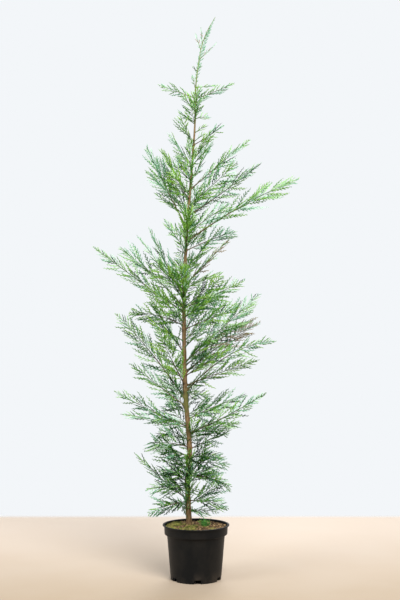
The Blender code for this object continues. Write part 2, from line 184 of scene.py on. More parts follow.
class Bundle:
    """Many small bodies gathered into one mesh."""

    def __init__(self) -> None:
        """Starts with nothing."""
        self.points: list[Array] = []
        self.faces: list[Array] = []
        self.count = 0

    def add(self, points: Array, faces: Array) -> None:
        """Adds a body.

        Args:
            points: its points.
            faces: its faces, numbered from its own first point.
        """
        self.points.append(points)
        self.faces.append(faces + self.count)
        self.count += len(points)

    def build(self, name: str, material: Material) -> Object:
        """The bodies as one smooth piece."""
        return add_mesh(name, np.concatenate(self.points), self.faces, material)


def settle(piece: Object, slot: str, nodes: Iterable[str] = ()) -> None:
    """Puts a finished piece on the plant's body, hides the solids it replaces, and logs its
    triangles and slot.

    Args:
        piece: the object to settle.
        slot: the material slot its finish belongs to.
        nodes: the solids it replaces.
    """
    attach(piece, BODY)
    if nodes:
        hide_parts(*sorted(nodes))
    triangles = sum(len(face.vertices) - 2 for face in piece.data.polygons)
    log.info("%s: %d triangles, slot %s", piece.name, triangles, slot)


# --- Shader maths ---


class Pattern(NamedTuple):
    """Soft noise or cells over a surface.

    Attributes:
        scale: marks per metre.
        detail: octaves of finer noise.
        stretch: factors for X, Y and Z; a small one draws the marks out along its axis.
        roughness: strength of the finer octaves.
        span: the pattern's values over which a colour sets in.
    """

    scale: float
    detail: float = 3
    stretch: Triple = (1, 1, 1)
    roughness: float = 0.5
    span: Span = (0, 1)


class Value:
    """A number that varies over a surface: a shader socket with Python arithmetic."""

    def __init__(self, nodes: "Nodes", socket: NodeSocket) -> None:
        """Wraps an output socket of a node tree."""
        self.nodes = nodes
        self.socket = socket

    def _math(self, operation: str, *terms: "Value | float") -> "Value":
        """A Math node over the given terms."""
        return self.nodes.value("ShaderNodeMath", dict(enumerate(terms)), operation=operation)

    def __add__(self, other: "Value | float") -> "Value":
        """Sum."""
        return self._math("ADD", self, other)

    def __radd__(self, other: float) -> "Value":
        """Sum, with the number first."""
        return self._math("ADD", other, self)

    def __sub__(self, other: "Value | float") -> "Value":
        """Difference."""
        return self._math("SUBTRACT", self, other)

    def __rsub__(self, other: float) -> "Value":
        """Difference, with the number first."""
        return self._math("SUBTRACT", other, self)

    def __mul__(self, other: "Value | float") -> "Value":
        """Product."""
        return self._math("MULTIPLY", self, other)

    def __rmul__(self, other: float) -> "Value":
        """Product, with the number first."""
        return self._math("MULTIPLY", other, self)

    def ramp(self, start: float, end: float) -> "Value":
        """Rises smoothly from 0 at `start` to 1 at `end`.

        Args:
            start: the value that gives 0.
            end: the value that gives 1.

        Returns:
            The eased share.
        """
        return self.nodes.value(
            "ShaderNodeMapRange",
            {"Value": self, "From Min": start, "From Max": end},
            interpolation_type="SMOOTHSTEP",
        )

    def band(self, rise: Span, fall: Span) -> "Value":
        """Rises from 0 to 1 over one span and falls back to 0 over the next.

        Args:
            rise: where it starts to rise and where it reaches 1.
            fall: where it starts to fall and where it reaches 0.

        Returns:
            The share.
        """
        return self.ramp(*rise) * (1 - self.ramp(*fall))


class Nodes:
    """A node tree: `node` adds every node in it, and `feed` fills every input."""

    def __init__(self, tree: NodeTree) -> None:
        """Wraps a tree."""
        self.tree = tree

    def node(self, kind: str, values: dict | None = None, **settings: object) -> Node:
        """Adds any node.

        Args:
            kind: the node's type.
            values: what goes into it, as for `feed`.
            settings: its options, set before the inputs.

        Returns:
            The node.
        """
        made = self.tree.nodes.new(kind)
        for key, setting in settings.items():
            setattr(made, key, setting)
        self.feed(made, values or {})
        return made

    def feed(self, node: Node, values: dict) -> None:
        """Sets or links a node's inputs.

        Args:
            node: the node to feed.
            values: numbers, colours, `Value`s or sockets, by input name or index.
        """
        for key, given in values.items():
            if isinstance(given, Value):
                given = given.socket
            if isinstance(given, NodeSocket):
                self.tree.links.new(given, node.inputs[key])
            elif isinstance(given, tuple) and len(given) == 3 and node.inputs[key].type == "RGBA":
                node.inputs[key].default_value = (*given, 1)
            else:
                node.inputs[key].default_value = given

    def value(self, kind: str, values: dict | None = None, output: str | int = 0,
              **settings: object) -> Value:
        """Adds a node and wraps one of its outputs as a number.

        Args:
            kind: the node's type.
            values: what goes into it, as for `feed`.
            output: the output's name or index.
            settings: its options.

        Returns:
            The number.
        """
        return Value(self, self.node(kind, values, **settings).outputs[output])

    def show(self, share: Value | NodeSocket, low: Node, high: Node, output: str) -> None:
        """Sends a blend of two shaders to the output.

        Args:
            share: 0 for `low`, 1 for `high`.
            low: a shader node.
            high: a shader node.
            output: name of the tree's output node.
        """
        blend = self.node("ShaderNodeMixShader", {0: share, 1: low.outputs[0], 2: high.outputs[0]})
        self.feed(self.tree.nodes[output], {"Surface": blend.outputs[0]})


class Shader(Nodes):
    """A Principled material whose patterns are written as expressions."""

    def __init__(self, name: str) -> None:
        """Starts a material with a Principled shader.

        Args:
            name: the material's name.
        """
        self.material = bpy.data.materials.new(name)
        self.material.use_nodes = True
        super().__init__(self.material.node_tree)
        self.surface = self.tree.nodes["Principled BSDF"]

    def place(self, stretch: Triple = (1, 1, 1)) -> NodeSocket:
        """Coordinates of the surface in metres, stretched along the axes.

        Args:
            stretch: factors for X, Y and Z.

        Returns:
            The coordinates' socket.
        """
        position = self.node("ShaderNodeTexCoord").outputs["Object"]
        scaled = self.node("ShaderNodeVectorMath", {0: position, 1: stretch}, operation="MULTIPLY")
        return scaled.outputs[0]

    def axis(self, name: str) -> Value:
        """One coordinate of the surface in metres: X, Y or Z."""
        return self.value("ShaderNodeSeparateXYZ", {0: self.place()}, name)

    def noise(self, pattern: Pattern) -> Value:
        """Soft noise.

        Args:
            pattern: its scale and detail.

        Returns:
            The noise, about 0.3 to 0.7.
        """
        place = self.place(pattern.stretch)
        scale, detail, _, roughness, _ = pattern
        values = {"Vector": place, "Scale": scale, "Detail": detail, "Roughness": roughness}
        return self.value("ShaderNodeTexNoise", values, "Fac")

    def cells(self, pattern: Pattern) -> Value:
        """Distance from the middles of Voronoi cells."""
        values = {"Vector": self.place(pattern.stretch), "Scale": pattern.scale}
        return self.value("ShaderNodeTexVoronoi", values, "Distance")

    def mix(self, share: Value | float, low: object, high: object) -> NodeSocket:
        """Mixes two colours.

        Args:
            share: 0 for `low`, 1 for `high`.
            low: a colour or colour socket.
            high: a colour or colour socket.

        Returns:
            The mixed colour's socket.
        """
        values = {0: share, 6: low, 7: high}
        return self.node("ShaderNodeMix", values, data_type="RGBA").outputs[2]

    def bump(self, height: Value, depth: float, strength: float = 1.0) -> NodeSocket:
        """A normal from a height.

        Args:
            height: the pattern, 0 to 1.
            depth: how deep a step of 1 is, in metres.
            strength: share of the effect.

        Returns:
            The normal's socket.
        """
        values = {"Height": height, "Distance": depth, "Strength": strength}
        return self.node("ShaderNodeBump", values).outputs[0]

    def dress(self, **values: object) -> Material:
        """Feeds the Principled shader and returns the material.

        Args:
            values: socket values, with spaces in the sockets' names written as underscores.

        Returns:
            The finished material.
        """
        self.feed(self.surface, {key.replace("_", " "): given for key, given in values.items()})
        return self.material


# --- Finishes ---
# A rise or a fall is the span of heights over which a colour comes or goes; a share is how
# strong it gets.


@dataclass(frozen=True)
class LeafFinish:
    """A plain leaf colour, dealt out spray by spray."""

    name: str
    colour: Colour
    slot: str
    roughness: float = 0.6
    gloss: float = 0.04

    def material(self) -> Material:
        """The leaf material.

        Returns:
            The material.
        """
        return Shader(f"leaf_{self.name}").dress(
            Base_Color=self.colour, Roughness=self.roughness, Specular_IOR_Level=self.gloss
        )


class Tone(Enum):
    """The leaf colours of the crown, from sunlit tips to the shaded inside, then the dull ones; the
    paler tones carry painted light and the deeper ones painted shade, as well as the leaves' own
    greens.
    """

    LIME = LeafFinish("lime", srgb(142, 186, 74), "foliage_fresh")
    FRESH = LeafFinish("fresh", srgb(114, 162, 62), "foliage_fresh")
    LIGHT = LeafFinish("light", srgb(162, 204, 142), "foliage_fresh")
    GREEN = LeafFinish("green", srgb(88, 137, 58), "foliage_green")
    # DEEP and DARK are mostly painted shade, dealt to the inside of the crown and the low skirt
    DEEP = LeafFinish("deep", srgb(50, 98, 46), "foliage_green")
    DARK = LeafFinish("dark", srgb(29, 62, 28), "foliage_green")
    GLAUCOUS = LeafFinish("glaucous", srgb(119, 170, 132), "foliage_glaucous")
    HAZE = LeafFinish("haze", srgb(188, 222, 196), "foliage_glaucous")
    BRONZE = LeafFinish("bronze", srgb(146, 133, 106), "foliage_glaucous")


TONES = tuple(Tone)


@dataclass(frozen=True)
class BarkFinish:
    """Thin reddish-brown bark that flakes in strips, with olive algae on some stretches."""

    name: str = "trunk_bark"
    warm: Colour = srgb(112, 88, 54)
    pale: Colour = srgb(156, 127, 92)
    dark: Colour = srgb(52, 39, 27)
    algae: Colour = srgb(92, 94, 44)
    young: Colour = srgb(112, 134, 78)
    strips: Pattern = Pattern(520, 4, (1, 1, 0.12), 0.6, (0.35, 0.62))
    flakes: Pattern = Pattern(240, stretch=(1, 1, 0.2), span=(0.25, 0.75))
    flake_share: float = 0.45
    blotches: Pattern = Pattern(22, stretch=(1, 1, 0.5), span=(0.38, 0.62))
    algae_rise: Span = (0.53, 0.62)
    algae_fall: Span = (0.71, 0.87)
    algae_share: float = 0.85
    upper_rise: Span = (0.95, 1.25)
    upper_share: float = 0.45
    # Painted shade: a dark band on the trunk where the low ring of twigs crowds round it
    whorl_shade_rise: Span = (0.335, 0.375)
    whorl_shade_fall: Span = (0.395, 0.445)
    whorl_shade_share: float = 0.8
    young_rise: Span = (1.75, 2.02)
    young_share: float = 0.9
    strip_relief: float = 0.6
    flake_relief: float = 0.4
    relief_depth: float = 0.0012
    roughness: float = 0.72
    roughness_spread: float = 0.2
    gloss: float = 0.3

    def material(self) -> Material:
        """The bark of the trunk and the boughs.

        Returns:
            The material.
        """
        shader = Shader(self.name)
        strips = shader.noise(self.strips)
        flakes = shader.cells(self.flakes)
        blotches = shader.noise(self.blotches)
        height = shader.axis("Z")
        colour = shader.mix(strips.ramp(*self.strips.span), self.dark, self.warm)
        colour = shader.mix(flakes.ramp(*self.flakes.span) * self.flake_share, colour, self.pale)
        lower = height.band(self.algae_rise, self.algae_fall) * self.algae_share
        upper = height.ramp(*self.upper_rise) * self.upper_share
        green = (lower + upper) * blotches.ramp(*self.blotches.span)
        colour = shader.mix(green, colour, self.algae)
        # Painted shade: the bark darkened in a band where the low twigs crowd round the trunk
        whorl_shade = height.band(self.whorl_shade_rise, self.whorl_shade_fall) * self.whorl_shade_share
        colour = shader.mix(whorl_shade, colour, self.dark)
        colour = shader.mix(height.ramp(*self.young_rise) * self.young_share, colour, self.young)
        relief = strips * self.strip_relief + flakes * self.flake_relief
        return shader.dress(
            Base_Color=colour,
            Roughness=self.roughness + self.roughness_spread * strips,
            Normal=shader.bump(relief, self.relief_depth),
            Specular_IOR_Level=self.gloss,
        )


@dataclass(frozen=True)
class TwigFinish:
    """Young wood at the ends of the boughs: olive brown that turns green."""

    brown: Colour = srgb(76, 90, 46)
    green: Colour = srgb(56, 104, 48)
    patches: Pattern = Pattern(70, span=(0.42, 0.6))
    rings: Pattern = Pattern(900, 2, (1, 1, 0.4))
    ring_depth: float = 0.0005
    roughness: float = 0.6
    roughness_spread: float = 0.15

    def material(self) -> Material:
        """The young wood.

        Returns:
            The material.
        """
        shader = Shader("young_wood")
        patches = shader.noise(self.patches).ramp(*self.patches.span)
        rings = shader.noise(self.rings)
        return shader.dress(
            Base_Color=shader.mix(patches, self.brown, self.green),
            Roughness=self.roughness + self.roughness_spread * rings,
            Normal=shader.bump(rings, self.ring_depth),
        )


@dataclass(frozen=True)
class PlasticFinish:
    """Moulded black polypropylene: satin, lightly scuffed and dusty towards the foot."""

    black: Colour = srgb(9, 12, 14)
    dust: Colour = srgb(66, 59, 51)
    clouds: Pattern = Pattern(16, 4, (1, 1, 0.6), 0.6, (0.40, 0.66))
    scuffs: Pattern = Pattern(60, 5, (0.25, 0.25, 2.2), 0.7, (0.60, 0.72))
    scuff_share: float = 0.10
    foot_rise: Span = (0.0, 0.05)
    foot_share: float = 0.5
    dust_share: float = 0.10
    grain: Pattern = Pattern(1400, 2)
    grain_depth: float = 0.00025
    grain_strength: float = 0.6
    roughness: float = 0.40
    cloud_roughness: float = 0.16
    dust_roughness: float = 0.15
    gloss: float = 0.17

    def material(self) -> Material:
        """The pot's plastic.

        Returns:
            The material.
        """
        shader = Shader("pot_plastic")
        clouds = shader.noise(self.clouds)
        scuffs = shader.noise(self.scuffs)
        foot = 1 - shader.axis("Z").ramp(*self.foot_rise)
        dusty = (foot * self.foot_share + self.dust_share) * clouds.ramp(*self.clouds.span)
        worn = scuffs.ramp(*self.scuffs.span) * self.scuff_share
        satin = self.roughness + self.cloud_roughness * clouds + self.dust_roughness * dusty
        return shader.dress(
            Base_Color=shader.mix(dusty + worn, self.black, self.dust),
            Roughness=satin,
            Normal=shader.bump(shader.noise(self.grain), self.grain_depth, self.grain_strength),
            Specular_IOR_Level=self.gloss,
        )


@dataclass(frozen=True)
class CompostFinish:
    """Moist bark compost, from near black to dry brown; its scale is in crumbs per metre."""

    name: str = "compost"
    wet: Colour = srgb(28, 20, 14)
    dry: Colour = srgb(110, 84, 56)
    scale: float = 160
    crumbs: Pattern = Pattern(1, 5, roughness=0.65, span=(0.38, 0.66))
    specks_a_crumb: float = 2.4
    crumb_relief: float = 0.7
    speck_relief: float = 0.3
    relief_depth: float = 0.002
    roughness: float = 0.82
    roughness_spread: float = 0.12
    gloss: float = 0.2

    def material(self) -> Material:
        """The compost.

        Returns:
            The material.
        """
        shader = Shader(self.name)
        crumbs = shader.noise(self.crumbs._replace(scale=self.scale))
        specks = shader.cells(Pattern(self.scale * self.specks_a_crumb))
        relief = crumbs * self.crumb_relief + specks * self.speck_relief
        return shader.dress(
            Base_Color=shader.mix(crumbs.ramp(*self.crumbs.span), self.wet, self.dry),
            Roughness=self.roughness + self.roughness_spread * crumbs,
            Normal=shader.bump(relief, self.relief_depth),
            Specular_IOR_Level=self.gloss,
        )


@dataclass(frozen=True)
class MossFinish:
    """Low yellow-green moss, or another little plant in two greens."""

    name: str = "moss"
    dark: Colour = srgb(84, 98, 38)
    light: Colour = srgb(168, 168, 84)
    patches: Pattern = Pattern(90, span=(0.36, 0.64))
    roughness: float = 0.8
    gloss: float = 0.2

    def material(self) -> Material:
        """The moss.

        Returns:
            The material.
        """
        shader = Shader(self.name)
        patches = shader.noise(self.patches).ramp(*self.patches.span)
        return shader.dress(
            Base_Color=shader.mix(patches, self.dark, self.light),
            Roughness=self.roughness,
            Specular_IOR_Level=self.gloss,
        )


# --- The plant's rule ---


class Palette(Enum):
    """Shares of the leaf tones near the trunk and at the bough's tip, in the order of `Tone`."""

    HIGH = ((0, 0, 0, 0, 0, 0, 3, 3, 1), (0, 0, 0, 0, 0, 0, 2, 4, 1))
    TOP = ((0, 2, 2, 4, 1, 0, 2, 1, 0), (0, 1, 4, 1, 0, 0, 3, 3, 0))
    BRIGHT = ((3, 5, 1, 4, 1, 0, 0, 0, 0), (4, 4, 3, 1, 0, 0, 0, 1, 0))
    AIRY = ((0, 1, 2, 3, 2, 1, 2, 1, 0), (0, 1, 3, 1, 0, 0, 3, 5, 0))
    MIXED = ((0, 2, 0, 4, 4, 1, 1, 0, 0), (1, 2, 3, 2, 0, 0, 2, 1, 0))
    LEAFY = ((1, 4, 0, 5, 3, 1, 0, 0, 0), (2, 4, 2, 3, 0, 0, 1, 0, 0))
    # SHADED and DUSKY are painted shade: mostly the deep and dark tones, for the low skirt and the
    # crown's inside near the trunk
    SHADED = ((0, 1, 0, 3, 5, 3, 1, 0, 0), (0, 1, 2, 3, 2, 0, 3, 1, 0))
    DUSKY = ((0, 0, 0, 1, 4, 6, 0, 0, 0), (0, 1, 1, 3, 4, 1, 2, 1, 0))
    MISTY = ((0, 0, 0, 3, 4, 1, 3, 0, 0), (0, 0, 2, 1, 0, 0, 4, 4, 0))
    RUSTY = ((0, 1, 0, 2, 2, 1, 1, 0, 3), (0, 0, 0, 1, 0, 0, 2, 1, 7))


class Bough(NamedTuple):
    """One bough or twig: where it leaves the trunk, where its tip is, and how it is clothed.

    Attributes:
        name: its name; a bough's solids are named after it too.
        height: where it leaves the trunk.
        reach: how far its tip stands from there towards +X.
        depth: how far its tip stands from there towards +Y.
        rise: how far its tip stands above there.
        bow: how far its middle sags, as a share of its length; a bough that arches has less than 0.
        spread: length of its longest side shoots.
        palette: its leaf tones.
        bare: share of its length that is nearly bare.
    """

    name: str
    height: float
    reach: float
    depth: float
    rise: float
    bow: float
    spread: float
    palette: Palette
    bare: float = 0.0


def from_table(rows: Iterable[tuple]) -> tuple[Bough, ...]:
    """The rows of a table as boughs; the rows give their palettes by name."""
    made = (Bough(*row) for row in rows)
    return tuple(bough._replace(palette=Palette[bough.palette]) for bough in made)


BOUGHS = from_table((
    ("top_left", 2.077, -0.022, 0.012, 0.070, 0.05, 0.013, "HIGH"),
    ("top_right", 2.040, 0.071, -0.020, 0.063, 0.08, 0.015, "HIGH"),
    ("crown_left", 1.885, -0.148, 0.030, 0.060, 0.00, 0.034, "TOP"),
    ("crown_right", 1.881, 0.158, -0.035, 0.056, 0.03, 0.034, "TOP"),
    ("crown_front", 1.806, 0.010, -0.120, 0.078, 0.04, 0.044, "TOP"),
    ("upper_left_front", 1.696, -0.050, -0.115, 0.092, 0.05, 0.060, "BRIGHT"),
    ("upper_right", 1.700, 0.124, 0.045, 0.088, 0.04, 0.046, "AIRY"),
    ("upper_left", 1.622, -0.094, 0.085, 0.132, 0.06, 0.060, "AIRY"),
    ("long_right_1", 1.524, 0.241, 0.050, 0.206, -0.02, 0.056, "AIRY", 0.22),
    ("shoulder_left_front", 1.484, -0.072, -0.150, 0.088, 0.05, 0.064, "BRIGHT"),
    ("tall_left", 1.374, -0.160, -0.045, 0.312, 0.05, 0.080, "AIRY", 0.42),
    ("long_right_2", 1.418, 0.297, 0.105, 0.226, 0.03, 0.065, "AIRY", 0.25),
    ("shoulder_back", 1.400, 0.040, 0.190, 0.165, 0.05, 0.066, "MISTY"),
    ("long_right_3", 1.316, 0.443, -0.050, 0.240, -0.075, 0.084, "TOP", 0.36),
    ("middle_front_1", 1.300, 0.014, -0.190, 0.120, 0.04, 0.064, "LEAFY"),
    ("middle_right_back", 1.280, 0.205, 0.150, 0.090, -0.04, 0.065, "MISTY"),
    ("steep_right", 1.147, 0.180, -0.130, 0.175, 0.02, 0.054, "RUSTY"),
    ("middle_left_back", 1.143, -0.055, 0.240, 0.120, 0.02, 0.065, "MIXED"),
    ("fan_left", 1.060, -0.259, 0.055, 0.232, -0.09, 0.085, "AIRY", 0.40),
    ("fan_left_top", 1.100, -0.136, -0.095, 0.262, 0.03, 0.058, "MISTY"),
    ("long_left_1", 1.041, -0.354, -0.060, 0.251, 0.02, 0.060, "AIRY", 0.30),
    ("middle_right", 1.056, 0.247, 0.110, 0.114, 0.02, 0.060, "MIXED"),
    ("arching_left_front", 0.986, -0.209, -0.140, 0.045, -0.12, 0.070, "LEAFY"),
    ("middle_front_2", 1.084, -0.010, -0.230, 0.128, 0.02, 0.055, "LEAFY"),
    ("waist_right_front", 0.970, 0.219, -0.130, 0.086, -0.02, 0.062, "LEAFY"),
    ("waist_back", 0.950, 0.060, 0.270, 0.165, 0.03, 0.070, "MISTY"),
    ("waist_left_back", 0.880, -0.129, 0.215, 0.192, 0.04, 0.070, "SHADED"),
    ("long_right_4", 0.844, 0.302, 0.095, 0.270, 0.00, 0.084, "AIRY", 0.34),
    ("long_left_2", 0.703, -0.272, -0.075, 0.330, -0.08, 0.068, "MIXED", 0.24),
    ("lower_left_front", 0.755, -0.105, -0.200, 0.220, 0.02, 0.072, "LEAFY"),
    ("lower_right_front", 0.789, 0.184, -0.175, 0.110, 0.00, 0.070, "LEAFY"),
    ("lower_right_fan", 0.800, 0.308, 0.175, 0.200, -0.08, 0.074, "RUSTY"),
    ("long_right_5", 0.730, 0.362, 0.030, 0.192, -0.24, 0.052, "MIXED", 0.34),
    ("lower_right", 0.750, 0.286, -0.070, 0.102, -0.02, 0.060, "LEAFY"),
    ("long_left_3", 0.672, -0.220, -0.050, 0.166, 0.00, 0.058, "SHADED"),
    ("lower_back", 0.640, -0.070, 0.260, 0.110, -0.02, 0.075, "SHADED"),
    ("low_right", 0.620, 0.239, 0.080, 0.085, -0.06, 0.068, "MISTY"),
    ("long_left_4", 0.592, -0.296, 0.040, 0.135, 0.03, 0.060, "MIXED"),
    ("low_right_long", 0.565, 0.303, -0.060, 0.161, 0.05, 0.058, "AIRY"),
    ("low_left_front", 0.511, -0.155, -0.150, 0.030, -0.08, 0.072, "SHADED"),
    ("low_right_back", 0.503, 0.159, 0.150, 0.045, -0.06, 0.070, "SHADED"),
    ("low_back", 0.420, -0.030, 0.200, 0.025, -0.08, 0.070, "SHADED"),
    ("skirt_right_front", 0.400, 0.169, -0.110, -0.030, -0.12, 0.064, "SHADED"),
    ("skirt_left", 0.310, -0.214, 0.040, 0.173, 0.06, 0.056, "SHADED"),
    ("skirt_left_low", 0.298, -0.152, -0.065, -0.040, -0.10, 0.056, "SHADED"),
    ("skirt_front", 0.272, 0.055, -0.120, -0.010, -0.08, 0.050, "SHADED"),
    ("skirt_back", 0.262, -0.055, 0.130, -0.005, -0.10, 0.050, "SHADED"),
    ("skirt_right_low", 0.300, 0.162, 0.050, -0.040, -0.14, 0.056, "SHADED"),
))

# Small twigs straight on the trunk, between the boughs; they stand for no solid
SIDE_TWIGS = from_table((
    ("leader_high", 2.112, 0.030, -0.008, 0.060, 0.04, 0.010, "HIGH"),
    ("leader_mid", 2.100, -0.006, 0.010, 0.070, 0.02, 0.008, "HIGH"),
    ("tuft", 1.991, -0.020, -0.010, 0.014, 0.0, 0.012, "SHADED"),
    ("tuft_right", 1.996, 0.014, 0.008, 0.020, 0.0, 0.012, "SHADED"),
    ("tall_left_twin", 1.440, -0.135, 0.030, 0.215, 0.03, 0.068, "AIRY"),
    ("tall_left_inner", 1.500, -0.110, -0.070, 0.170, 0.04, 0.070, "BRIGHT"),
    ("long_right_inner", 1.350, 0.170, 0.020, 0.120, 0.0, 0.064, "AIRY"),
    ("long_right_upper", 1.460, 0.190, -0.060, 0.160, 0.02, 0.064, "AIRY"),
    ("middle_left_apron", 1.120, -0.120, -0.150, 0.100, 0.02, 0.070, "BRIGHT"),
    ("middle_left_apron_low", 1.000, -0.105, -0.165, 0.110, 0.02, 0.072, "LEAFY"),
    ("waist_left_apron", 0.925, -0.130, -0.140, 0.070, -0.02, 0.070, "LEAFY"),
    ("middle_right_apron", 1.205, 0.095, -0.140, 0.105, 0.03, 0.064, "LEAFY"),
    ("waist_right_apron", 1.020, 0.120, -0.150, 0.070, 0.0, 0.064, "LEAFY"),
    ("waist_right_low", 0.900, 0.100, -0.145, 0.100, 0.02, 0.064, "MIXED"),
    ("shoulder_right_inner", 1.560, 0.080, -0.030, 0.130, 0.02, 0.042, "AIRY"),
    ("shoulder_left_low", 1.414, -0.135, -0.030, 0.090, 0.00, 0.036, "MIXED"),
    ("shoulder_left_outer", 1.425, -0.172, -0.020, 0.170, -0.03, 0.046, "AIRY"),
    ("fan_left_twin", 1.090, -0.190, 0.030, 0.255, -0.05, 0.034, "MISTY"),
    ("lower_right_rust", 0.830, 0.295, 0.110, 0.190, -0.06, 0.050, "RUSTY"),
    ("middle_left_shelf", 1.040, -0.160, -0.080, 0.095, -0.04, 0.060, "BRIGHT"),
    ("middle_right_arch", 1.130, 0.155, -0.060, 0.045, -0.14, 0.048, "BRIGHT"),
    ("low_left_under", 0.586, -0.262, -0.040, 0.055, -0.04, 0.050, "MISTY"),
    ("skirt_left_under", 0.350, -0.165, -0.030, -0.005, -0.10, 0.042, "MISTY"),
    ("flank_right_high", 1.060, 0.150, -0.090, 0.110, 0.00, 0.064, "LEAFY"),
    ("flank_right", 0.930, 0.170, -0.050, 0.150, 0.02, 0.056, "MIXED"),
    ("flank_right_low", 0.840, 0.130, -0.100, 0.120, 0.00, 0.060, "MIXED"),
    ("middle_right_behind", 1.020, 0.170, 0.180, 0.110, 0.02, 0.064, "MISTY"),
    ("middle_behind", 1.150, 0.030, 0.210, 0.140, 0.03, 0.066, "MIXED"),
    ("shoulder_behind", 1.560, -0.060, 0.120, 0.120, 0.03, 0.055, "AIRY"),
    ("shoulder_right_behind", 1.620, 0.080, 0.110, 0.110, 0.03, 0.055, "MISTY"),
    ("collar_tuft_left", 1.842, -0.056, -0.010, 0.052, 0.02, 0.028, "LEAFY"),
    ("collar_tuft_front", 1.868, 0.012, -0.036, 0.058, 0.02, 0.030, "LEAFY"),
    ("collar_tuft_right", 1.850, 0.044, 0.010, 0.048, 0.02, 0.028, "TOP"),
    ("collar_left", 1.925, -0.014, -0.012, 0.050, 0.02, 0.014, "TOP"),
    ("collar_right", 1.926, 0.088, 0.020, 0.012, -0.03, 0.017, "TOP"),
    ("crown_bright", 1.860, 0.024, -0.040, 0.060, 0.03, 0.036, "TOP"),
    ("neck_left", 1.790, -0.064, 0.020, 0.040, 0.02, 0.034, "TOP"),
    ("neck_right", 1.804, 0.054, 0.026, 0.014, 0.0, 0.026, "TOP"),
    ("shoulder_bright", 1.634, 0.074, -0.085, 0.106, 0.04, 0.050, "BRIGHT"),
    ("shoulder_left", 1.559, -0.074, 0.030, 0.078, 0.03, 0.048, "AIRY"),
    ("breast_right", 1.453, 0.084, -0.070, 0.054, 0.02, 0.050, "LEAFY"),
    ("thin_left", 1.288, -0.088, -0.020, 0.116, 0.04, 0.034, "MIXED"),
    ("neck_left_low", 0.600, -0.130, -0.060, 0.030, -0.03, 0.060, "SHADED"),
    ("neck_right_low", 0.630, 0.130, -0.080, 0.030, -0.04, 0.060, "MIXED"),
    ("nape_left", 0.540, -0.115, -0.045, 0.040, -0.04, 0.060, "DUSKY"),
    ("nape_right", 0.548, 0.125, -0.035, 0.030, -0.04, 0.060, "DUSKY"),
    ("nape_back", 0.520, 0.030, 0.120, 0.040, -0.03, 0.064, "SHADED"),
    ("hip_left", 0.475, -0.105, -0.035, 0.020, -0.05, 0.058, "DUSKY"),
    ("hip_right", 0.470, 0.110, -0.035, 0.015, -0.06, 0.058, "DUSKY"),
    ("whorl_left", 0.405, -0.110, -0.060, 0.015, -0.07, 0.058, "DUSKY"),
    ("whorl_right", 0.405, 0.110, -0.045, 0.010, -0.06, 0.050, "DUSKY"),
    ("whorl_front", 0.400, 0.030, -0.090, 0.010, -0.05, 0.045, "DUSKY"),
    ("whorl_front_left", 0.395, -0.045, -0.080, 0.030, -0.05, 0.045, "DUSKY"),
    ("whorl_back_left", 0.385, -0.080, 0.090, 0.010, -0.06, 0.060, "DUSKY"),
    ("whorl_back_right", 0.398, 0.085, 0.100, 0.010, -0.06, 0.060, "DUSKY"),
    ("hip_front", 0.455, 0.012, -0.085, 0.020, -0.04, 0.040, "DUSKY"),
    ("hip_inner_left", 0.440, -0.070, 0.020, 0.030, -0.04, 0.050, "DUSKY"),
    ("hip_inner_right", 0.440, 0.070, 0.015, 0.030, -0.04, 0.050, "DUSKY"),
    ("whorl_inner_left", 0.380, -0.070, 0.010, 0.030, -0.04, 0.048, "DUSKY"),
    ("whorl_inner_right", 0.372, 0.065, -0.020, 0.035, -0.04, 0.046, "DUSKY"),
    ("low_knee_left", 0.340, -0.100, -0.055, -0.005, -0.08, 0.054, "DUSKY"),
    ("foot_left", 0.285, -0.110, 0.055, -0.015, -0.09, 0.050, "DUSKY"),
    ("foot_right", 0.262, 0.120, 0.075, -0.020, -0.08, 0.040, "MISTY"),
    ("knee_left", 0.648, -0.082, -0.050, 0.030, 0.0, 0.046, "DUSKY"),
    ("knee_right", 0.723, 0.093, -0.055, -0.020, -0.06, 0.044, "MIXED"),
    ("loin_right", 0.562, 0.208, 0.060, 0.038, -0.03, 0.056, "LEAFY"),
    ("shin_left", 0.475, -0.139, 0.050, 0.038, -0.03, 0.056, "LEAFY"),
    ("shin_right", 0.444, 0.158, 0.050, -0.008, -0.08, 0.056, "SHADED"),
    ("hanging_left", 0.448, -0.104, 0.040, -0.058, -0.10, 0.050, "SHADED"),
    ("foot_front", 0.338, 0.046, -0.070, 0.016, 0.0, 0.040, "LEAFY"),
    ("shin_front", 0.355, -0.090, -0.060, 0.030, 0.0, 0.044, "SHADED"),
))

# Heights and tones of the twigs that stand before the trunk, and stretches where its front is bare
FRONT_TWIGS = (
    (0.235, "SHADED"), (0.262, "SHADED"), (0.290, "LEAFY"), (0.318, "SHADED"), (0.345, "SHADED"),
    (0.372, "SHADED"), (0.398, "SHADED"), (0.425, "LEAFY"), (0.548, "LEAFY"), (1.005, "LEAFY"),
    (1.040, "BRIGHT"), (1.075, "LEAFY"), (1.110, "BRIGHT"), (1.150, "LEAFY"), (1.185, "MIXED"),
    (1.275, "BRIGHT"), (1.305, "LEAFY"), (1.335, "BRIGHT"), (1.370, "LEAFY"), (1.545, "LEAFY"),
    (1.585, "BRIGHT"), (1.625, "BRIGHT"), (1.785, "LEAFY"), (1.810, "BRIGHT"),
)
BARE_FRONT = ((0.60, 0.98), (1.20, 1.26), (1.40, 1.53), (1.68, 1.77))


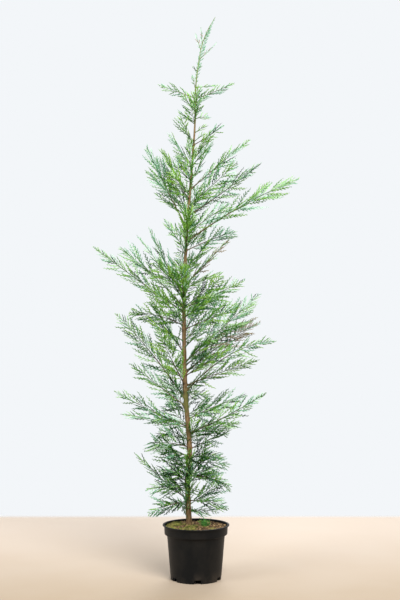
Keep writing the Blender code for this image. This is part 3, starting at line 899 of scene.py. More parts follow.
@dataclass(frozen=True)
class TrunkLine:
    """The trunk's wandering, tapering centre line, from the compost to the leader's tip."""

    # Height, then X and Y of the centre
    points: tuple[Triple, ...] = (
        (0.1963, -0.026, 0.000),
        (0.380, -0.033, 0.004),
        (0.500, -0.025, -0.004),
        (0.730, -0.042, 0.005),
        (1.080, -0.047, 0.000),
        (1.320, -0.038, -0.006),
        (1.560, -0.020, 0.004),
        (1.790, -0.004, 0.008),
        (1.910, -0.003, 0.004),
        (2.070, 0.018, 0.000),
        (2.140, 0.040, -0.004),
        (2.205, 0.077, -0.010),
    )
    base_radius: float = 0.0105
    tip_radius: float = 0.0009
    taper: float = 1.3
    flare_radius: float = 0.005
    flare_height: float = 0.018
    # Half the distance between the two centres that give a direction
    half_step: float = 1e-3

    @property
    def foot(self) -> float:
        """Height of the compost at the trunk."""
        return self.points[0][0]

    @property
    def top(self) -> float:
        """Height of the leader's tip."""
        return self.points[-1][0]

    def centre(self, heights: Array) -> Array:
        """Centres of the trunk on a smooth cubic.

        Args:
            heights: heights above the floor.

        Returns:
            One centre for each height.
        """
        z, x, y = (np.array(column) for column in zip(*self.points))
        rows = np.stack((x, y, z), axis=1)
        before = rows[np.maximum(np.arange(len(z)) - 1, 0)]
        after = rows[np.minimum(np.arange(len(z)) + 1, len(z) - 1)]
        slope = (after - before) / (after[:, 2:] - before[:, 2:])
        heights = np.atleast_1d(heights)
        i = np.clip(np.searchsorted(z, heights, side="right") - 1, 0, len(z) - 2)
        span = (z[i + 1] - z[i])[:, None]
        t = (heights - z[i])[:, None] / span
        return (
            rows[i] * (1 + 2 * t) * (1 - t) ** 2
            + slope[i] * span * t * (1 - t) ** 2
            + rows[i + 1] * t * t * (3 - 2 * t)
            + slope[i + 1] * span * t * t * (t - 1)
        )

    def direction(self, heights: Array) -> Array:
        """Directions of the trunk at some heights."""
        heights = np.atleast_1d(heights)
        return unit(self.centre(heights + self.half_step) - self.centre(heights - self.half_step))

    def radius(self, heights: Array) -> Array:
        """Radii of the trunk at some heights, with the root flare.

        Args:
            heights: heights above the floor.

        Returns:
            One radius for each height.
        """
        share = np.clip((heights - self.foot) / (self.top - self.foot), 0, 1)
        flare = self.flare_radius * np.exp(-(heights - self.foot) / self.flare_height)
        body = (self.base_radius - self.tip_radius) * (1 - share**self.taper)
        return self.tip_radius + body + flare


@dataclass(frozen=True)
class Envelope:
    """How long the shoots along a parent are, as a share of the longest one it may have.

    Attributes:
        least: share at the parent's tip.
        start: how far along a half wave the first shoot stands.
        run: how much of the half wave the shoots take up from there.
        power: below 1, the middle of the spray is fuller.
    """

    least: float
    start: float
    run: float
    power: float = 1.0

    def at(self, place: Array) -> Array:
        """The shares at some shares of the parent."""
        wave = np.sin(np.pi * np.minimum(1, self.start + self.run * place))
        return self.least + (1 - self.least) * wave**self.power


# The outline of a spray, longest at a third of the bough, and that of a lance-shaped feather
SPRAY = Envelope(0.12, 0.22, 0.82, 0.9)
FEATHER = Envelope(0.16, 0.20, 0.80)


@dataclass(frozen=True)
class Habit:
    """How one order of shoots grows from the order below it.

    Attributes:
        spacing: distance from one shoot to the next along its parent.
        first: share of the parent's length where the shoots begin.
        last: share of the parent's length where they end.
        angle: how far they turn away from the parent.
        angle_spread: how much that angle varies.
        roll_spread: how much they turn out of the spray's plane.
        envelope: their length along the parent.
        lengths: least and most of a random factor on that length.
        least: length below which a shoot is left out.
        reach: length of their own longest child, as a share of their length.
        forward: how far they curl back towards the parent's direction.
        girth: their half thickness.
        reach_floor: least length of their own longest child.
        stray_tones: share of them that takes the leaf tone of another spray.
        stagger: how far they stray from even places, as a share of a step.
    """

    spacing: float
    first: float
    last: float
    angle: float
    angle_spread: float
    roll_spread: float
    envelope: Envelope
    lengths: Span
    least: float
    reach: float
    forward: float
    girth: float
    reach_floor: float = 0.0
    stray_tones: float = 0.0
    stagger: float = 0.3


@dataclass
class Shoots:
    """Curved shoots as arrays, one row each: root + length * (along s + curl s²).

    Attributes:
        root: where they start.
        along: their direction there.
        curl: how that direction changes along them.
        face: square to the plane of their children.
        length: their length.
        bare: share of the length before the first child.
        reach: length of the longest child.
        girth: half thickness.
        tone: number of their leaf tone, or of their bough until the tones are dealt.
        bough: number of their bough in `BOUGHS`, or -1 where they stand for no solid.
        place: share of the parent's length where they start.
    """

    root: Array
    along: Array
    curl: Array
    face: Array
    length: Array
    bare: Array
    reach: Array
    girth: Array
    tone: Array
    bough: Array
    place: Array

    def __len__(self) -> int:
        """How many shoots there are."""
        return len(self.length)

    def take(self, rows: Array) -> "Shoots":
        """The shoots of some rows, or of a mask."""
        return Shoots(**{name: column[rows] for name, column in vars(self).items()})

    @staticmethod
    def lay(length: Array, bare: Array | float = 0.0, tone: Array | int = 0,
            bough: Array | int = -1, place: Array | float = 0.0,
            **columns: Array | float) -> "Shoots":
        """Shoots from their columns, where a single number fills a whole column.

        Args:
            length: their lengths, one for each shoot.
            bare: share of the length before the first child.
            tone: number of their tone.
            bough: number of their bough.
            place: where on the parent they start.
            columns: the other columns.

        Returns:
            The shoots.
        """
        columns |= {"length": length, "bare": bare, "tone": tone, "bough": bough, "place": place}
        wide = {name: given if np.ndim(given) else np.full(len(length), given)
                for name, given in columns.items()}
        return Shoots(**wide)

    @staticmethod
    def join(*groups: "Shoots") -> "Shoots":
        """One set from several."""
        names = vars(groups[0])
        return Shoots(**{n: np.concatenate([vars(g)[n] for g in groups]) for n in names})

    def point(self, rows: Array, share: Array) -> Array:
        """Points along some shoots.

        Args:
            rows: numbers of the shoots.
            share: a share of the length for each.

        Returns:
            The points.
        """
        s = share[..., None]
        length = self.length[rows][..., None]
        return self.root[rows] + length * (self.along[rows] * s + self.curl[rows] * s * s)

    def direction(self, rows: Array, share: Array) -> Array:
        """Directions at shares of some shoots."""
        return unit(self.along[rows] + 2 * self.curl[rows] * share[..., None])

    def sprout(self, habit: Habit, rng: np.random.Generator) -> "Shoots":
        """Grows the next order of shoots, on alternate sides of each shoot.

        Args:
            habit: how the new shoots grow.
            rng: the source of chance.

        Returns:
            The new shoots.
        """
        grown = self.length * (1 - self.bare)
        count = np.round(grown * (habit.last - habit.first) / habit.spacing).astype(int)
        row = np.repeat(np.arange(len(self)), count)
        order = np.arange(len(row)) - np.repeat(np.cumsum(count) - count, count)
        stray = rng.uniform(-habit.stagger, habit.stagger, len(row))
        u = habit.first + (habit.last - habit.first) * (
            (order + 0.5 + stray) / np.maximum(count[row], 1)
        )
        size = self.reach[row] * habit.envelope.at(u) * rng.uniform(*habit.lengths, len(row))
        share = self.bare[row] + (1 - self.bare[row]) * u
        side = np.where(order % 2, 1.0, -1.0)[:, None]
        stem = self.direction(row, share)
        beside = unit(np.cross(self.face[row], stem))
        roll = rng.normal(0, habit.roll_spread, len(row))[:, None]
        beside = beside * np.cos(roll) + np.cross(stem, beside) * np.sin(roll)
        angle = (habit.angle + rng.normal(0, habit.angle_spread, len(row)))[:, None]
        along = stem * np.cos(angle) + beside * side * np.sin(angle)
        tone = self.tone[row]
        odd = rng.random(len(row)) < habit.stray_tones
        made = Shoots.lay(
            root=self.point(row, share),
            along=along,
            curl=habit.forward * (stem - along * dot(stem, along)),
            face=np.cross(stem, beside),
            length=size,
            reach=np.maximum(size * habit.reach, habit.reach_floor),
            girth=habit.girth,
            tone=np.where(odd, rng.permutation(tone), tone),
            bough=self.bough[row],
            place=u,
        )
        return made.take(size > habit.least)

    def ends(self, start: float, reach: float, girth: float) -> "Shoots":
        """The outer ends of the shoots, as shoots of their own.

        Args:
            start: share of each shoot where its end begins.
            reach: longest child, as a share of the end's length.
            girth: half thickness.

        Returns:
            One shoot for each.
        """
        every = np.arange(len(self))
        begin = np.full(len(self), start)
        root = self.point(every, begin)
        tip = self.point(every, np.ones(len(self)))
        length = np.linalg.norm(tip - root, axis=1)
        along = self.direction(every, begin)
        return replace(
            self,
            root=root,
            along=along,
            curl=(tip - root) / length[:, None] - along,
            length=length,
            bare=np.zeros(len(self)),
            reach=length * reach,
            girth=np.full(len(self), girth),
            place=np.ones(len(self)),
        )


@dataclass(frozen=True)
class Cord:
    """A slender three-sided cord, pointed at both ends, that clothes a shoot.

    Attributes:
        rings: how many rings it has between its ends.
        middle: share of the length where a single ring stands.
        crowding: power that crowds several rings towards the tip.
        girth: half thickness at the root, as a share of the shoot's.
        taper: how much of that is lost at the tip.
        width: factor on the thickness in the spray's plane.
        depth: factor on the thickness square to it.
        sides: where the three edges stand round the cord.
    """

    rings: int
    middle: float = 0.42
    crowding: float = 0.9
    girth: float = 1.15
    taper: float = 0.5
    width: float = 1.25
    depth: float = 0.8
    sides: tuple[float, ...] = (math.radians(90), math.radians(210), math.radians(330))

    @property
    def triangles(self) -> int:
        """Triangles in one cord."""
        return 6 * self.rings

    def faces(self) -> list[tuple[int, int, int]]:
        """The triangles of one cord: a fan at the root, bands, and a fan at the tip.

        Returns:
            The numbers of each triangle's points.
        """
        last = 3 * self.rings + 1
        faces = [(0, 1 + (k + 1) % 3, 1 + k) for k in range(3)]
        for band in range(self.rings - 1):
            low, high = 1 + 3 * band, 4 + 3 * band
            for k in range(3):
                after = (k + 1) % 3
                faces += [(low + k, low + after, high + after), (low + k, high + after, high + k)]
        return faces + [(last, last - 3 + k, last - 3 + (k + 1) % 3) for k in range(3)]

    def clothe(self, shoots: Shoots) -> tuple[Array, Array]:
        """A cord for each of some shoots.

        Args:
            shoots: the shoots to clothe.

        Returns:
            Points and triangles.
        """
        count = len(shoots)
        every = np.arange(count)
        shares = np.linspace(0, 1, self.rings + 2)
        shares[1:-1] = shares[1:-1] ** self.crowding if self.rings > 1 else self.middle
        stations = np.stack([shoots.point(every, np.full(count, s)) for s in shares], axis=1)
        points = [stations[:, :1]]
        for k in range(1, self.rings + 1):
            stem = shoots.direction(every, np.full(count, shares[k]))
            beside = unit(np.cross(shoots.face, stem))
            above = np.cross(stem, beside)
            thick = (shoots.girth * (self.girth - self.taper * shares[k]))[:, None]
            for turn in self.sides:
                offset = beside * math.cos(turn) * self.width + above * math.sin(turn) * self.depth
                points.append((stations[:, k] + offset * thick)[:, None])
        points = np.concatenate((*points, stations[:, -1:]), axis=1)
        return points.reshape(-1, 3), copies(self.faces(), count, points.shape[1])


@dataclass
class Crown:
    """All the foliage: boughs, side shoots, branchlets and twiglets, by one seeded rule."""

    trunk: TrunkLine
    rng: np.random.Generator
    shoot_habit: Habit = Habit(
        spacing=0.0065, first=0.02, last=0.985, angle=math.radians(42),
        angle_spread=math.radians(10), roll_spread=math.radians(22), envelope=SPRAY,
        lengths=(1.0, 1.6), least=0.006, reach=0.17, forward=0.30, girth=0.0014,
    )
    leader_habit: Habit = replace(shoot_habit, spacing=0.034, angle=math.radians(26), first=0.45)
    branchlet_habit: Habit = Habit(
        spacing=0.0070, first=0.05, last=0.97, angle=math.radians(34),
        angle_spread=math.radians(5), roll_spread=math.radians(14), envelope=FEATHER,
        lengths=(0.85, 1.15), least=0.0040, reach=0.0, forward=0.12, girth=0.0016,
        reach_floor=0.0030, stray_tones=0.08,
    )
    twiglet_habit: Habit = Habit(
        spacing=0.0058, first=0.10, last=0.85, angle=math.radians(32),
        angle_spread=math.radians(7), roll_spread=math.radians(16), envelope=FEATHER,
        lengths=(0.85, 1.15), least=0.0015, reach=0.0, forward=0.10, girth=0.00085,
    )
    # Each spray is rolled to one side or the other of level
    fan_roll: float = math.radians(38)
    fan_roll_spread: float = 0.12
    # A bough's root, as a share of the trunk's radius, and its half thickness there
    root_share: float = 0.8
    root_girth: float = 0.0011
    girth_a_length: float = 0.0062
    # Share of a bough that is always without shoots
    least_bare: float = 0.04
    # The nearly bare stretch of a limb: how much of it has no shoots, the length left to the
    # innermost of the others, and how far out they stay short
    bare_share: float = 0.35
    bare_shortening: float = 0.35
    bare_end: float = 1.1
    # The end of each bough, clothed as a shoot of its own
    end_start: float = 0.70
    end_reach: float = 0.16
    end_girth: float = 0.0015
    # The trunk's top, clothed as a shoot
    leader_start: float = 1.93
    leader_reach: float = 0.020
    leader_girth: float = 0.0012
    # Short twigs all round the trunk, shorter towards the top
    filler_count: int = 46
    filler_start: float = 0.27
    filler_stretch: float = 1.60
    filler_turn: float = math.radians(137.5)
    filler_length: float = 0.125
    filler_shrink: float = 0.085
    filler_lengths: Span = (0.7, 1.2)
    filler_shade: float = 0.35
    filler_climb: float = 0.65
    filler_spread: float = 0.52
    # Fillers whose bearing has a sine below this stand in front, and turn aside from bare trunk
    filler_front: float = -0.6
    filler_aside: float = math.radians(100)
    # Twigs that stand before the trunk; bearings in degrees
    front_bearing: float = -90
    front_bearings: Span = (-40, 40)
    front_lengths: Span = (0.035, 0.065)
    front_climb: float = 1.7
    front_spread: float = 0.040
    # Every such twig's own climb and bow
    twig_climbs: Span = (0.7, 1.3)
    twig_bow: float = 0.04
    # How freely the two ends' leaf tones mix along a bough
    tone_spread: float = 0.18
    # Longest twiglet straight on a side shoot, gap kept to the trunk, longest short branchlet
    spine_leaf: float = 0.0034
    clearance: float = 0.002
    short_branchlet: float = 0.010
    boughs: Shoots = field(init=False)
    shoots: Shoots = field(init=False)
    branchlets: Shoots = field(init=False)
    twiglets: Shoots = field(init=False)

    def fillers(self) -> list[Bough]:
        """Short twigs round the trunk, which fill the inside of the crown.

        Returns:
            Rows like those of the boughs, spiralling up the trunk, then those of the front.
        """
        rows = []
        for i in range(self.filler_count):
            share = (i + 0.5) / self.filler_count
            height = self.filler_start + self.filler_stretch * share
            bearing = self.filler_turn * i
            bare = any(low < height < high for low, high in BARE_FRONT)
            if bare and math.sin(bearing) < self.filler_front:
                bearing += self.filler_aside
            longest = self.filler_length - self.filler_shrink * share
            length = longest * self.rng.uniform(*self.filler_lengths)
            # Painted shade: the lower fillers take the darker SHADED palette
            palette = Palette.SHADED if share < self.filler_shade else Palette.MIXED
            spread = self.filler_spread * length
            rows.append(self.twig(height, bearing, length, palette, self.filler_climb, spread))
        for height, palette in FRONT_TWIGS:
            bearing = math.radians(self.front_bearing + self.rng.uniform(*self.front_bearings))
            length = self.rng.uniform(*self.front_lengths)
            climb, spread = self.front_climb, self.front_spread
            rows.append(self.twig(height, bearing, length, Palette[palette], climb, spread))
        return rows

    def twig(self, height: float, bearing: float, length: float, palette: Palette,
             climb: float, spread: float) -> Bough:
        """The row of a short rising twig.

        Args:
            height: where it leaves the trunk.
            bearing: its direction seen from above.
            length: how far it reaches.
            palette: its leaf tones.
            climb: how far it rises, as a share of its reach.
            spread: longest side shoot.

        Returns:
            The row.
        """
        reach, depth = length * math.cos(bearing), length * math.sin(bearing)
        rise = length * climb * self.rng.uniform(*self.twig_climbs)
        return Bough("twig", height, reach, depth, rise, self.twig_bow, spread, palette)

    def leader(self) -> Shoots:
        """The top of the trunk as a shoot, so that it carries foliage too.

        Returns:
            One shoot.
        """
        root, tip = self.trunk.centre(np.array((self.leader_start, self.trunk.top)))
        along = self.trunk.direction(np.array((self.leader_start,)))
        length = np.linalg.norm(tip - root)
        return Shoots.lay(
            root=root[None],
            along=along,
            curl=((tip - root) / length - along[0])[None],
            face=np.array(((0.0, -1.0, 0.0),)),
            length=np.array((length,)),
            reach=self.leader_reach,
            girth=self.leader_girth,
            tone=TONES.index(Tone.GLAUCOUS),
        )

    def lay_boughs(self, rows: Sequence[Bough], solid: bool) -> Shoots:
        """The spines of some boughs.

        Args:
            rows: the boughs' sizes.
            solid: whether they are those of `BOUGHS`, which stand for solids.

        Returns:
            One shoot a bough, from inside the trunk's wood to the bough's tip.
        """
        count = len(rows)
        heights = np.array([row.height for row in rows])
        centre = self.trunk.centre(heights)
        wood = self.trunk.direction(heights)
        outward = np.array([(row.reach, row.depth, 0.0) for row in rows])
        square = unit(outward - wood * dot(outward, wood))
        root = centre + square * self.trunk.radius(heights)[:, None] * self.root_share
        tip = centre + np.array([(row.reach, row.depth, row.rise) for row in rows])
        length = np.linalg.norm(tip - root, axis=1)
        bow = np.array([row.bow for row in rows])
        knee = (root + tip) / 2 - UP * (bow * length)[:, None]
        middle = unit(tip - root)
        level = unit(np.cross(middle, UP))
        above = np.cross(level, middle)
        roll = np.where(self.rng.random(count) < 0.5, 1, -1) * self.fan_roll
        roll = roll[:, None] + self.rng.normal(0, self.fan_roll_spread, (count, 1))
        beside = level * np.cos(roll) + above * np.sin(roll)
        return Shoots.lay(
            root=root,
            along=2 * (knee - root) / length[:, None],
            curl=(tip - 2 * knee + root) / length[:, None],
            face=np.cross(middle, beside),
            length=length,
            bare=np.array([max(self.bare_share * row.bare, self.least_bare) for row in rows]),
            reach=np.array([row.spread for row in rows]),
            girth=self.root_girth + self.girth_a_length * length,
            bough=np.arange(count) if solid else -1,
        )

    def deal_tones(self, shoots: Shoots, palettes: list[Palette]) -> Array:
        """Deals each side shoot a leaf tone: darker near the trunk, paler at the bough's tip. This
        is partly the leaves' own older and fresher greens, partly painted shade inside the crown
        and painted light at the tips.

        Args:
            shoots: the side shoots, with the number of their bough for a tone.
            palettes: each bough's palette.

        Returns:
            The number of each shoot's tone.
        """
        shares = np.array([palette.value for palette in palettes], dtype=float)
        shares /= shares.sum(axis=2, keepdims=True)
        outer = shoots.place + self.rng.normal(0, self.tone_spread, len(shoots))
        outer = np.clip(outer, 0, 1)[:, None]
        blend = shares[shoots.tone, 0] * (1 - outer) + shares[shoots.tone, 1] * outer
        draw = self.rng.random(len(shoots))[:, None]
        return np.sum(draw > np.cumsum(blend, axis=1), axis=1)

    def grow(self) -> None:
        """Grows every order of shoots."""
        extra = [*SIDE_TWIGS, *self.fillers()]
        self.boughs = Shoots.join(self.lay_boughs(BOUGHS, True), self.lay_boughs(extra, False))
        numbered = replace(self.boughs, tone=np.arange(len(self.boughs)))
        shoots = self.shorten_inner(numbered.sprout(self.shoot_habit, self.rng))
        ends = numbered.ends(self.end_start, self.end_reach, self.end_girth)
        shoots = Shoots.join(shoots, ends)
        shoots.tone = self.deal_tones(shoots, [row.palette for row in (*BOUGHS, *extra)])
        leader = self.leader()
        top = leader.sprout(self.leader_habit, self.rng)
        self.shoots = Shoots.join(self.clear_of_trunk(Shoots.join(shoots, top)), leader)
        self.branchlets = self.shoots.sprout(self.branchlet_habit, self.rng)
        leafy = replace(self.shoots, reach=np.full(len(self.shoots), self.spine_leaf))
        self.twiglets = Shoots.join(leafy, self.branchlets).sprout(self.twiglet_habit, self.rng)
        log.info(
            "crown: %d boughs, %d shoots, %d branchlets, %d twiglets",
            len(self.boughs), len(self.shoots), len(self.branchlets), len(self.twiglets),
        )

    def shorten_inner(self, shoots: Shoots) -> Shoots:
        """Shortens the shoots on the nearly bare stretches of the limbs.

        Args:
            shoots: the side shoots, with the number of their bough for a tone.

        Returns:
            The same shoots, shorter near the trunk.
        """
        bare = np.zeros(len(self.boughs))
        bare[: len(BOUGHS)] = [row.bare for row in BOUGHS]
        bare = bare[shoots.tone]
        start = self.bare_share * bare
        share = start + (1 - start) * shoots.place
        inner = np.clip(self.bare_end - share / np.maximum(bare, TINY), 0, 1) * (bare > 0)
        factor = 1 - (1 - self.bare_shortening) * inner**0.5
        return replace(shoots, length=shoots.length * factor, reach=shoots.reach * factor)

    def clear_of_trunk(self, shoots: Shoots) -> Shoots:
        """Leaves out the shoots whose middle or tip would touch the trunk.

        Args:
            shoots: the shoots to look through.

        Returns:
            Those that stand clear.
        """
        every = np.arange(len(shoots))
        keep = np.ones(len(shoots), dtype=bool)
        for share in (0.5, 1.0):
            point = shoots.point(every, np.full(len(shoots), share))
            height = np.clip(point[:, 2], self.trunk.foot, self.trunk.top)
            away = np.linalg.norm((point - self.trunk.centre(height))[:, :2], axis=1)
            keep &= away > self.trunk.radius(height) + self.clearance
        return shoots.take(keep)

    def build(self) -> None:
        """Makes the foliage pieces: one for each leaf tone, or a few, split by height."""
        short = self.branchlets.length < self.short_branchlet
        orders = (
            (self.shoots, Cord(4)),
            (self.branchlets.take(~short), Cord(2)),
            (self.branchlets.take(short), Cord(1)),
            (self.twiglets, Cord(1)),
        )
        for number, tone in enumerate(TONES):
            chosen = [(shoots.take(shoots.tone == number), cord) for shoots, cord in orders]
            chosen = [pair for pair in chosen if len(pair[0])]
            triangles = sum(cord.triangles * len(shoots) for shoots, cord in chosen)
            parts = max(1, math.ceil(triangles / LARGEST_PIECE))
            heights = np.concatenate([shoots.root[:, 2] for shoots, _ in chosen])
            levels = np.quantile(heights, np.linspace(0, 1, parts + 1))
            levels[0], levels[-1] = -math.inf, math.inf
            material = tone.value.material()
            for part, between in enumerate(zip(levels, levels[1:])):
                name = f"foliage_{tone.value.name}" + (f"_{part + 1}" if parts > 1 else "")
                self.build_piece(name, chosen, between, material, tone.value.slot)

    def build_piece(self, name: str, orders: list[tuple[Shoots, Cord]], between: Span,
                    material: Material, slot: str) -> None:
        """Makes one piece of foliage.

        Args:
            name: the piece's name.
            orders: shoots, with the cords that clothe them.
            between: lowest and highest root of the shoots that it takes.
            material: the leaf tone.
            slot: its material slot.
        """
        low, high = between
        bundle, nodes = Bundle(), set()
        for shoots, cord in orders:
            height = shoots.root[:, 2]
            inside = shoots.take((height >= low) & (height < high))
            if len(inside):
                bundle.add(*cord.clothe(inside))
                nodes |= {f"spray_{BOUGHS[i].name}" for i in set(inside.bough) - {-1}}
        settle(bundle.build(name, material), slot, nodes)


# --- Wood ---


def tube(centres: Array, directions: Array, radii: Array) -> tuple[Array, Array]:
    """A tube from rings of radii.

    Args:
        centres: the centre of each ring.
        directions: the direction across which each ring lies.
        radii: one row of radii a ring, one for each side.

    Returns:
        Points, ring after ring, and the quads between them.
    """
    sides = radii.shape[1]
    # The rings start from a direction that no wood follows
    across = np.cross(directions[0], (0.31, 0.95, 0.07))
    cos, sin = np.cos(turns(sides))[:, None], np.sin(turns(sides))[:, None]
    rings = []
    for centre, direction, radius in zip(centres, directions, radii):
        across = unit(across - direction * np.dot(across, direction))
        beside = np.cross(direction, across)
        rings.append(centre + (cos * across + sin * beside) * radius[:, None])
    return np.concatenate(rings), quads_between(len(centres), sides)


@dataclass(frozen=True)
class Relief:
    """The strips and lumps of the bark.

    Attributes:
        depth: how far the strips stand off on thick wood.
        full_radius: radius of the wood that has them in full.
        limits: least and most factor on the depth on other wood.
        strip_scale: strips a metre along X, Y and Z.
        strip_power: below 1, the strips have steeper edges.
        strip_share: height of the strips, as a share of the depth.
        lump_scale: lumps a metre along X, Y and Z.
        lump_share: height of the lumps, as a share of the depth.
    """

    depth: float = 0.0007
    full_radius: float = 0.009
    limits: Span = (0.15, 1.2)
    strip_scale: Triple = (420, 420, 34)
    strip_power: float = 0.6
    strip_share: float = 0.8
    lump_scale: Triple = (90, 90, 40)
    lump_share: float = 0.9

    def raise_bark(self, points: Array, centres: Array, rings: Array, share: float = 1) -> Array:
        """Raises the points of a tube outwards by the relief.

        Args:
            points: the tube's points, ring after ring.
            centres: the centre of each ring.
            rings: the radii of each ring.
            share: strength of the relief.

        Returns:
            The raised points.
        """
        outward = unit(points - np.repeat(centres, rings.shape[1], axis=0))
        depth = self.depth * np.clip(rings.ravel() / self.full_radius, *self.limits)
        strips = lumpy(points * self.strip_scale)
        flakes = np.sign(strips) * np.abs(strips) ** self.strip_power
        lumps = lumpy(points * self.lump_scale)
        height = depth * (self.strip_share * flakes + self.lump_share * lumps)
        return points + outward * (share * height)[:, None]


@dataclass
class Wood:
    """The trunk and the boughs, with bark relief, flakes and bough collars."""

    trunk: TrunkLine
    crown: Crown
    relief: Relief = Relief()
    trunk_sides: int = 40
    trunk_step: float = 0.0042
    buried: float = 0.004
    # The flutes of the root flare: how many, how deep, how high they reach and where they stand
    flutes: int = 5
    flute_depth: float = 0.18
    flute_height: float = 0.012
    flute_turn: float = 0.6
    # The swelling of the trunk at each bough, and the rounding of its tip
    swelling: float = 0.07
    swelling_length: float = 0.007
    tip_share: float = 0.2
    tip_length: float = 0.0006
    # The boughs: sides of their old and young wood, where the young begins and where it ends
    bough_sides: int = 9
    twig_sides: int = 6
    bough_step: float = 0.006
    young_from: float = 0.45
    young_to: float = 0.99
    least_stretch: float = 0.02
    # Their radius: that of a bough is a share of its spray's girth, that of a twig grows with it
    bough_girth: float = 0.85
    twig_radius: float = 0.0010
    twig_radius_a_length: float = 0.005
    end_radius: float = 0.0006
    bough_taper: float = 0.8
    collar: float = 0.9
    collar_length: float = 0.006
    bough_relief: float = 0.6

    def build_trunk(self, material: Material) -> None:
        """The trunk with its flare, relief and a swelling at each bough.

        Args:
            material: the bark.
        """
        foot, top, sides = self.trunk.foot - self.buried, self.trunk.top, self.trunk_sides
        heights = np.linspace(foot, top, int((top - foot) / self.trunk_step))
        above = np.clip(heights, self.trunk.foot, None)
        centres = self.trunk.centre(above)
        centres[:, 2] = heights
        inset = 2 * self.trunk.half_step
        directions = self.trunk.direction(np.clip(heights, self.trunk.foot + inset, top - inset))
        radii = self.trunk.radius(above)
        fading = np.exp(-(heights - foot) / self.flute_height)[:, None]
        waves = np.cos(self.flutes * turns(sides) + self.flute_turn)
        rings = radii[:, None] * (1 + self.flute_depth * fading * waves)
        for row in BOUGHS:
            swelling = np.exp(-(((heights - row.height) / self.swelling_length) ** 2))
            rings += (self.swelling * radii * swelling)[:, None]
        rings[-1] *= self.tip_share
        points, quads = tube(centres, directions, rings)
        points = self.relief.raise_bark(points, centres, rings)
        tip = len(points)
        points = np.vstack((points, centres[-1] + directions[-1] * self.tip_length))
        here, after = ring(sides)
        cap = np.stack((tip - sides + here, tip - sides + after, np.full(sides, tip)), axis=1)
        settle(add_mesh("trunk_bark", points, (quads, cap), material), "bark", ("trunk",))

    def stretch(self, bough: Shoots, start: float, end: float, main: bool,
                sides: int) -> tuple[Array, Array]:
        """A stretch of one bough's wood.

        Args:
            bough: the bough, alone.
            start: share of its length where the stretch starts.
            end: share of its length where it ends.
            main: whether it is a bough, not a twig.
            sides: how many sides it has.

        Returns:
            Points and quads.
        """
        length = float(bough.length[0])
        count = max(3, int((end - start) * length / self.bough_step))
        share = np.linspace(start, end, count)
        row = np.zeros(count, dtype=int)
        centres = bough.point(row, share)
        root = self.twig_radius + self.twig_radius_a_length * length
        if main:
            root = self.bough_girth * float(bough.girth[0])
        radii = root + (self.end_radius - root) * share**self.bough_taper
        radii = radii * (1 + self.collar * np.exp(-share * length / self.collar_length))
        rings = np.repeat(radii[:, None], sides, axis=1)
        points, quads = tube(centres, bough.direction(row, share), rings)
        return self.relief.raise_bark(points, centres, rings, self.bough_relief), quads

    def build_boughs(self, material: Material, young: Material) -> None:
        """The boughs: barked wood near the trunk and young wood beyond.

        Args:
            material: the bark.
            young: the young wood.
        """
        older, newer = Bundle(), Bundle()
        for i in range(len(self.crown.boughs)):
            bough = self.crown.boughs.take(np.array([i]))
            main = i < len(BOUGHS)
            split = max(self.young_from, float(bough.bare[0])) if main else 0.0
            if split > self.least_stretch:
                older.add(*self.stretch(bough, 0.0, split, main, self.bough_sides))
            newer.add(*self.stretch(bough, split, self.young_to, main, self.twig_sides))
        limbs = {f"limb_{row.name}" for row in BOUGHS if row.bare}
        settle(older.build("bough_bark", material), "bark", limbs)
        settle(newer.build("young_wood", young), "bark")

    def build(self) -> None:
        """Builds the trunk and the boughs."""
        self.build_trunk(BarkFinish().material())
        # Painted shade: the boughs take a darker copy of the trunk's bark, for the shade inside the
        # crown
        shaded = BarkFinish(
            name="bough_bark", warm=srgb(86, 68, 46), pale=srgb(120, 98, 72), dark=srgb(42, 32, 22)
        )
        self.build_boughs(shaded.material(), TwigFinish().material())


# --- Pot and compost ---


def lathe(profile: Array, segments: int) -> tuple[Array, list[Array]]:
    """Turns a profile about the upright axis.

    Args:
        profile: rows of radius and height; a zero radius may stand at either end.
        segments: points in each ring.

    Returns:
        Points, and arrays of triangles and quads.
    """
    points, rings, triangles, quads = [], [], [], []
    for radius, height in profile:
        if radius < TINY:
            rings.append([len(points)] * segments)
            points.append((0.0, 0.0, height))
            continue
        rings.append([len(points) + k for k in range(segments)])
        points += [(radius * math.cos(a), radius * math.sin(a), height) for a in turns(segments)]
    for low, high in zip(rings, rings[1:]):
        for k in range(segments):
            after = (k + 1) % segments
            corners = tuple(dict.fromkeys((low[k], low[after], high[after], high[k])))
            (triangles if len(corners) == 3 else quads).append(corners)
    return np.array(points), [np.array(triangles), np.array(quads)]


def rounded(corners: Array, radii: Array, steps: int = 4) -> Array:
    """Rounds the corners of a profile.

    Args:
        corners: the profile's corners.
        radii: how far from each corner its rounding starts.
        steps: points on each rounding.

    Returns:
        The profile with its corners rounded.
    """
    made = [corners[0]]
    for before, corner, after, radius in zip(corners, corners[1:], corners[2:], radii[1:]):
        start = corner + unit(before - corner) * radius
        end = corner + unit(after - corner) * radius
        for t in np.linspace(0, 1, steps + 1):
            made.append(start * (1 - t) ** 2 + corner * 2 * t * (1 - t) + end * t * t)
    made.append(corners[-1])
    return np.array(made)


